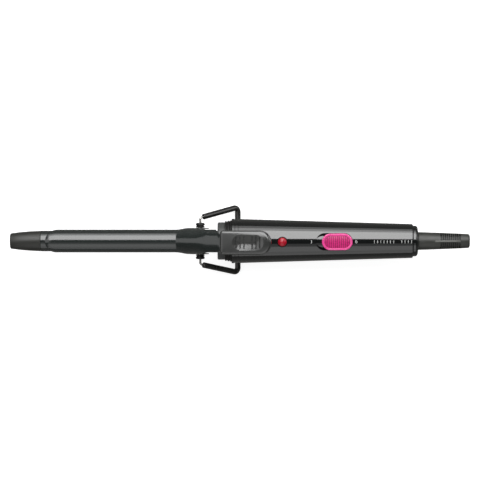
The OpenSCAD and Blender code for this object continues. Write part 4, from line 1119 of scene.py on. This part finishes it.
relief_low, relief_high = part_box("strain_relief")
relief_x = cap_high.x + 0.2 * mm
relief_r = (relief_high.z - relief_low.z) / 2
relief_bore = 3.25 * mm
end_r = 5.05 * mm
end_edge = 1.5 * mm
slot_count = 10
slot_pitch = 1.5 * mm
slot_width = 0.85 * mm
slot_floor = 0.70
slots_start = relief_high.x - 21.2 * mm
relief_end = relief_high.x - 0.02 * mm
waist_x = relief_x + 12.0 * mm


def relief_outer(x):
    return mix(6.05 * mm, end_r, (x - waist_x) / (relief_high.x - waist_x))


relief_profile = [
    (relief_low.x, relief_bore), (relief_low.x, 4.6 * mm), (relief_x, 4.6 * mm),
    (relief_x, relief_r - 0.4 * mm), (relief_x + 0.12 * mm, relief_r - 0.1 * mm),
    (relief_x + 0.5 * mm, relief_r), (relief_x + 6 * mm, relief_r - 0.15 * mm),
    (waist_x - 1.4 * mm, relief_r - 0.35 * mm), (waist_x - 0.5 * mm, relief_outer(waist_x) + 0.05 * mm),
    (waist_x, relief_outer(waist_x))]
for i in range(slot_count):
    x = slots_start + i * slot_pitch
    relief_profile += [(x, relief_outer(x)), (x + slot_width, relief_outer(x + slot_width))]
relief_profile += arc(relief_end - end_edge, end_r - end_edge, end_edge, 88, 0, 8)
relief_profile += [(relief_end, relief_bore + 0.3 * mm), (relief_end - 0.3 * mm, relief_bore),
                   (relief_low.x, relief_bore)]
relief = turned("strain_relief_visual", relief_profile, sides=96, ring=True, at=(0, axis_z))
bpy.ops.object.mode_set(mode="EDIT")
bpy.ops.mesh.select_mode(type="FACE")
spine_half = 0.85 * mm
side_web = 1.1 * mm


def in_slot(middle, normal):
    if (middle.yz - Vector((0, axis_z))).length < 4.0 * mm or abs(middle.y) < spine_half:
        return False
    if abs(middle.z - axis_z) < side_web:
        return False
    share = (middle.x - slots_start) / slot_pitch
    return 0 <= share < slot_count and (share % 1.0) * slot_pitch < slot_width


pick(relief, "faces", in_slot)
bpy.ops.mesh.extrude_region_move(TRANSFORM_OT_translate={"value": (0, 0, 0)})
bpy.ops.transform.resize(value=(1, slot_floor, slot_floor), orient_type="GLOBAL",
                         center_override=(0, 0, axis_z))
settle(relief, "strain_relief_visual", 40)
ridges = []
for side in (1, -1):
    spine = []
    for i in range(25):
        share = i / 24
        x = mix(slots_start - 3.4 * mm, relief_high.x - 4.0 * mm, share)
        sunk = mix(-0.25 * mm, 1.0 * mm, ease(max(0.0, abs(share - 0.4) - 0.3) / 0.32))
        spine.append((x, 0, axis_z + side * (relief_outer(x) - 0.35 * mm - sunk)))
    ridges.append(wire(f"spine_{side}", spine, 0.62 * mm, 20))
join_to(relief, ridges)
settle(relief, "strain_relief_visual", 40)
relief_finish = finish("relief_elastomer", (0.034, 0.035, 0.031), 0.40, shade=0.8, mottle=150, uneven=0.07,
                       grain=2600, relief=0.010)
dress(relief, relief_finish)
# Second material: near-black slot floors, painted shade.
relief.data.materials.append(finish("relief_slot_painted_shade", (0.008, 0.008, 0.007), 0.6, shade=0.7, mottle=150))
# Third material: paler ridges along the top and bottom, a painted highlight.
relief.data.materials.append(finish("relief_ridge_painted_highlight", (0.105, 0.107, 0.098), 0.30, shade=0.9, mottle=150,
                                    uneven=0.05, coat=0.4, coat_roughness=0.2))
# Picks the painted-highlight faces on the ridges and the painted-shade faces on the slot floors.
for face in relief.data.polygons:
    x, y, z = face.center
    from_axis = math.hypot(y, z - axis_z)
    if not slots_start - 3.4 * mm < x < slots_start + slot_count * slot_pitch:
        continue
    if abs(y) < 0.64 * mm and from_axis > relief_outer(x) - 0.1 * mm:
        face.material_index = 2
    elif x > slots_start and 3.6 * mm < from_axis < relief_outer(x) - 0.3 * mm and abs(y) > 0.7 * mm:
        face.material_index = 1
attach(relief, "cord_swivel")
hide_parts("strain_relief")

# ---- Inner pieces ----
# What the shells and the barrel hide keeps the CAD shape, with a finish for each real material.

inner_looks = {
    "aluminium": dict(colour=(0.68, 0.68, 0.69), roughness=0.34, metallic=1.0, stretch=(0.1, 1, 1)),
    "ceramic": dict(colour=(0.12, 0.11, 0.11), roughness=0.75, relief=0.02),
    "contact_brass": dict(colour=(0.72, 0.52, 0.22), roughness=0.28, metallic=1.0),
    "film": dict(colour=(0.55, 0.24, 0.03), roughness=0.2, coat=0.5),
    "fuse_case": dict(colour=(0.64, 0.64, 0.64), roughness=0.3, metallic=1.0),
    "glass_sleeving": dict(colour=(0.78, 0.74, 0.64), roughness=0.7, grain=1500, relief=0.05),
    "lead_insulation": dict(colour=(0.70, 0.68, 0.64), roughness=0.5),
    "supply_insulation": dict(colour=(0.34, 0.03, 0.03), roughness=0.5),
    "holder_plastic": dict(colour=(0.15, 0.07, 0.035), roughness=0.5),
    "board": dict(colour=(0.07, 0.17, 0.06), roughness=0.4, coat=0.3),
    "component_body": dict(colour=(0.50, 0.38, 0.22), roughness=0.45),
    "inner_plastic": dict(colour=(0.07, 0.07, 0.07), roughness=0.5),
    "slider_plastic": dict(colour=(0.76, 0.75, 0.70), roughness=0.4),
    "screw_steel": dict(colour=(0.46, 0.46, 0.45), roughness=0.32, metallic=1.0),
    "lens_plastic": dict(colour=(0.50, 0.01, 0.02), roughness=0.2, coat=0.4),
}
inner_finishes = {slot: finish(f"inner_{slot}", **look) for slot, look in inner_looks.items()}
outside = {"barrel_tube", "cool_tip", "clip_blade", "thumb_pad", "hinge_bracket", "hinge_pins", "clip_spring",
           "stand_wire", "stand_sleeve", "stand_bushings", "nose_ring", "fin_ring", "handle_upper",
           "handle_lower", "rear_cap", "pilot_lens", "switch_knob", "strain_relief"}
for subpart in frame["record"]["subparts"]:
    if subpart["node"] not in outside:
        dress(frame["nodes"][subpart["node"]], inner_finishes[subpart["material_slot"]])
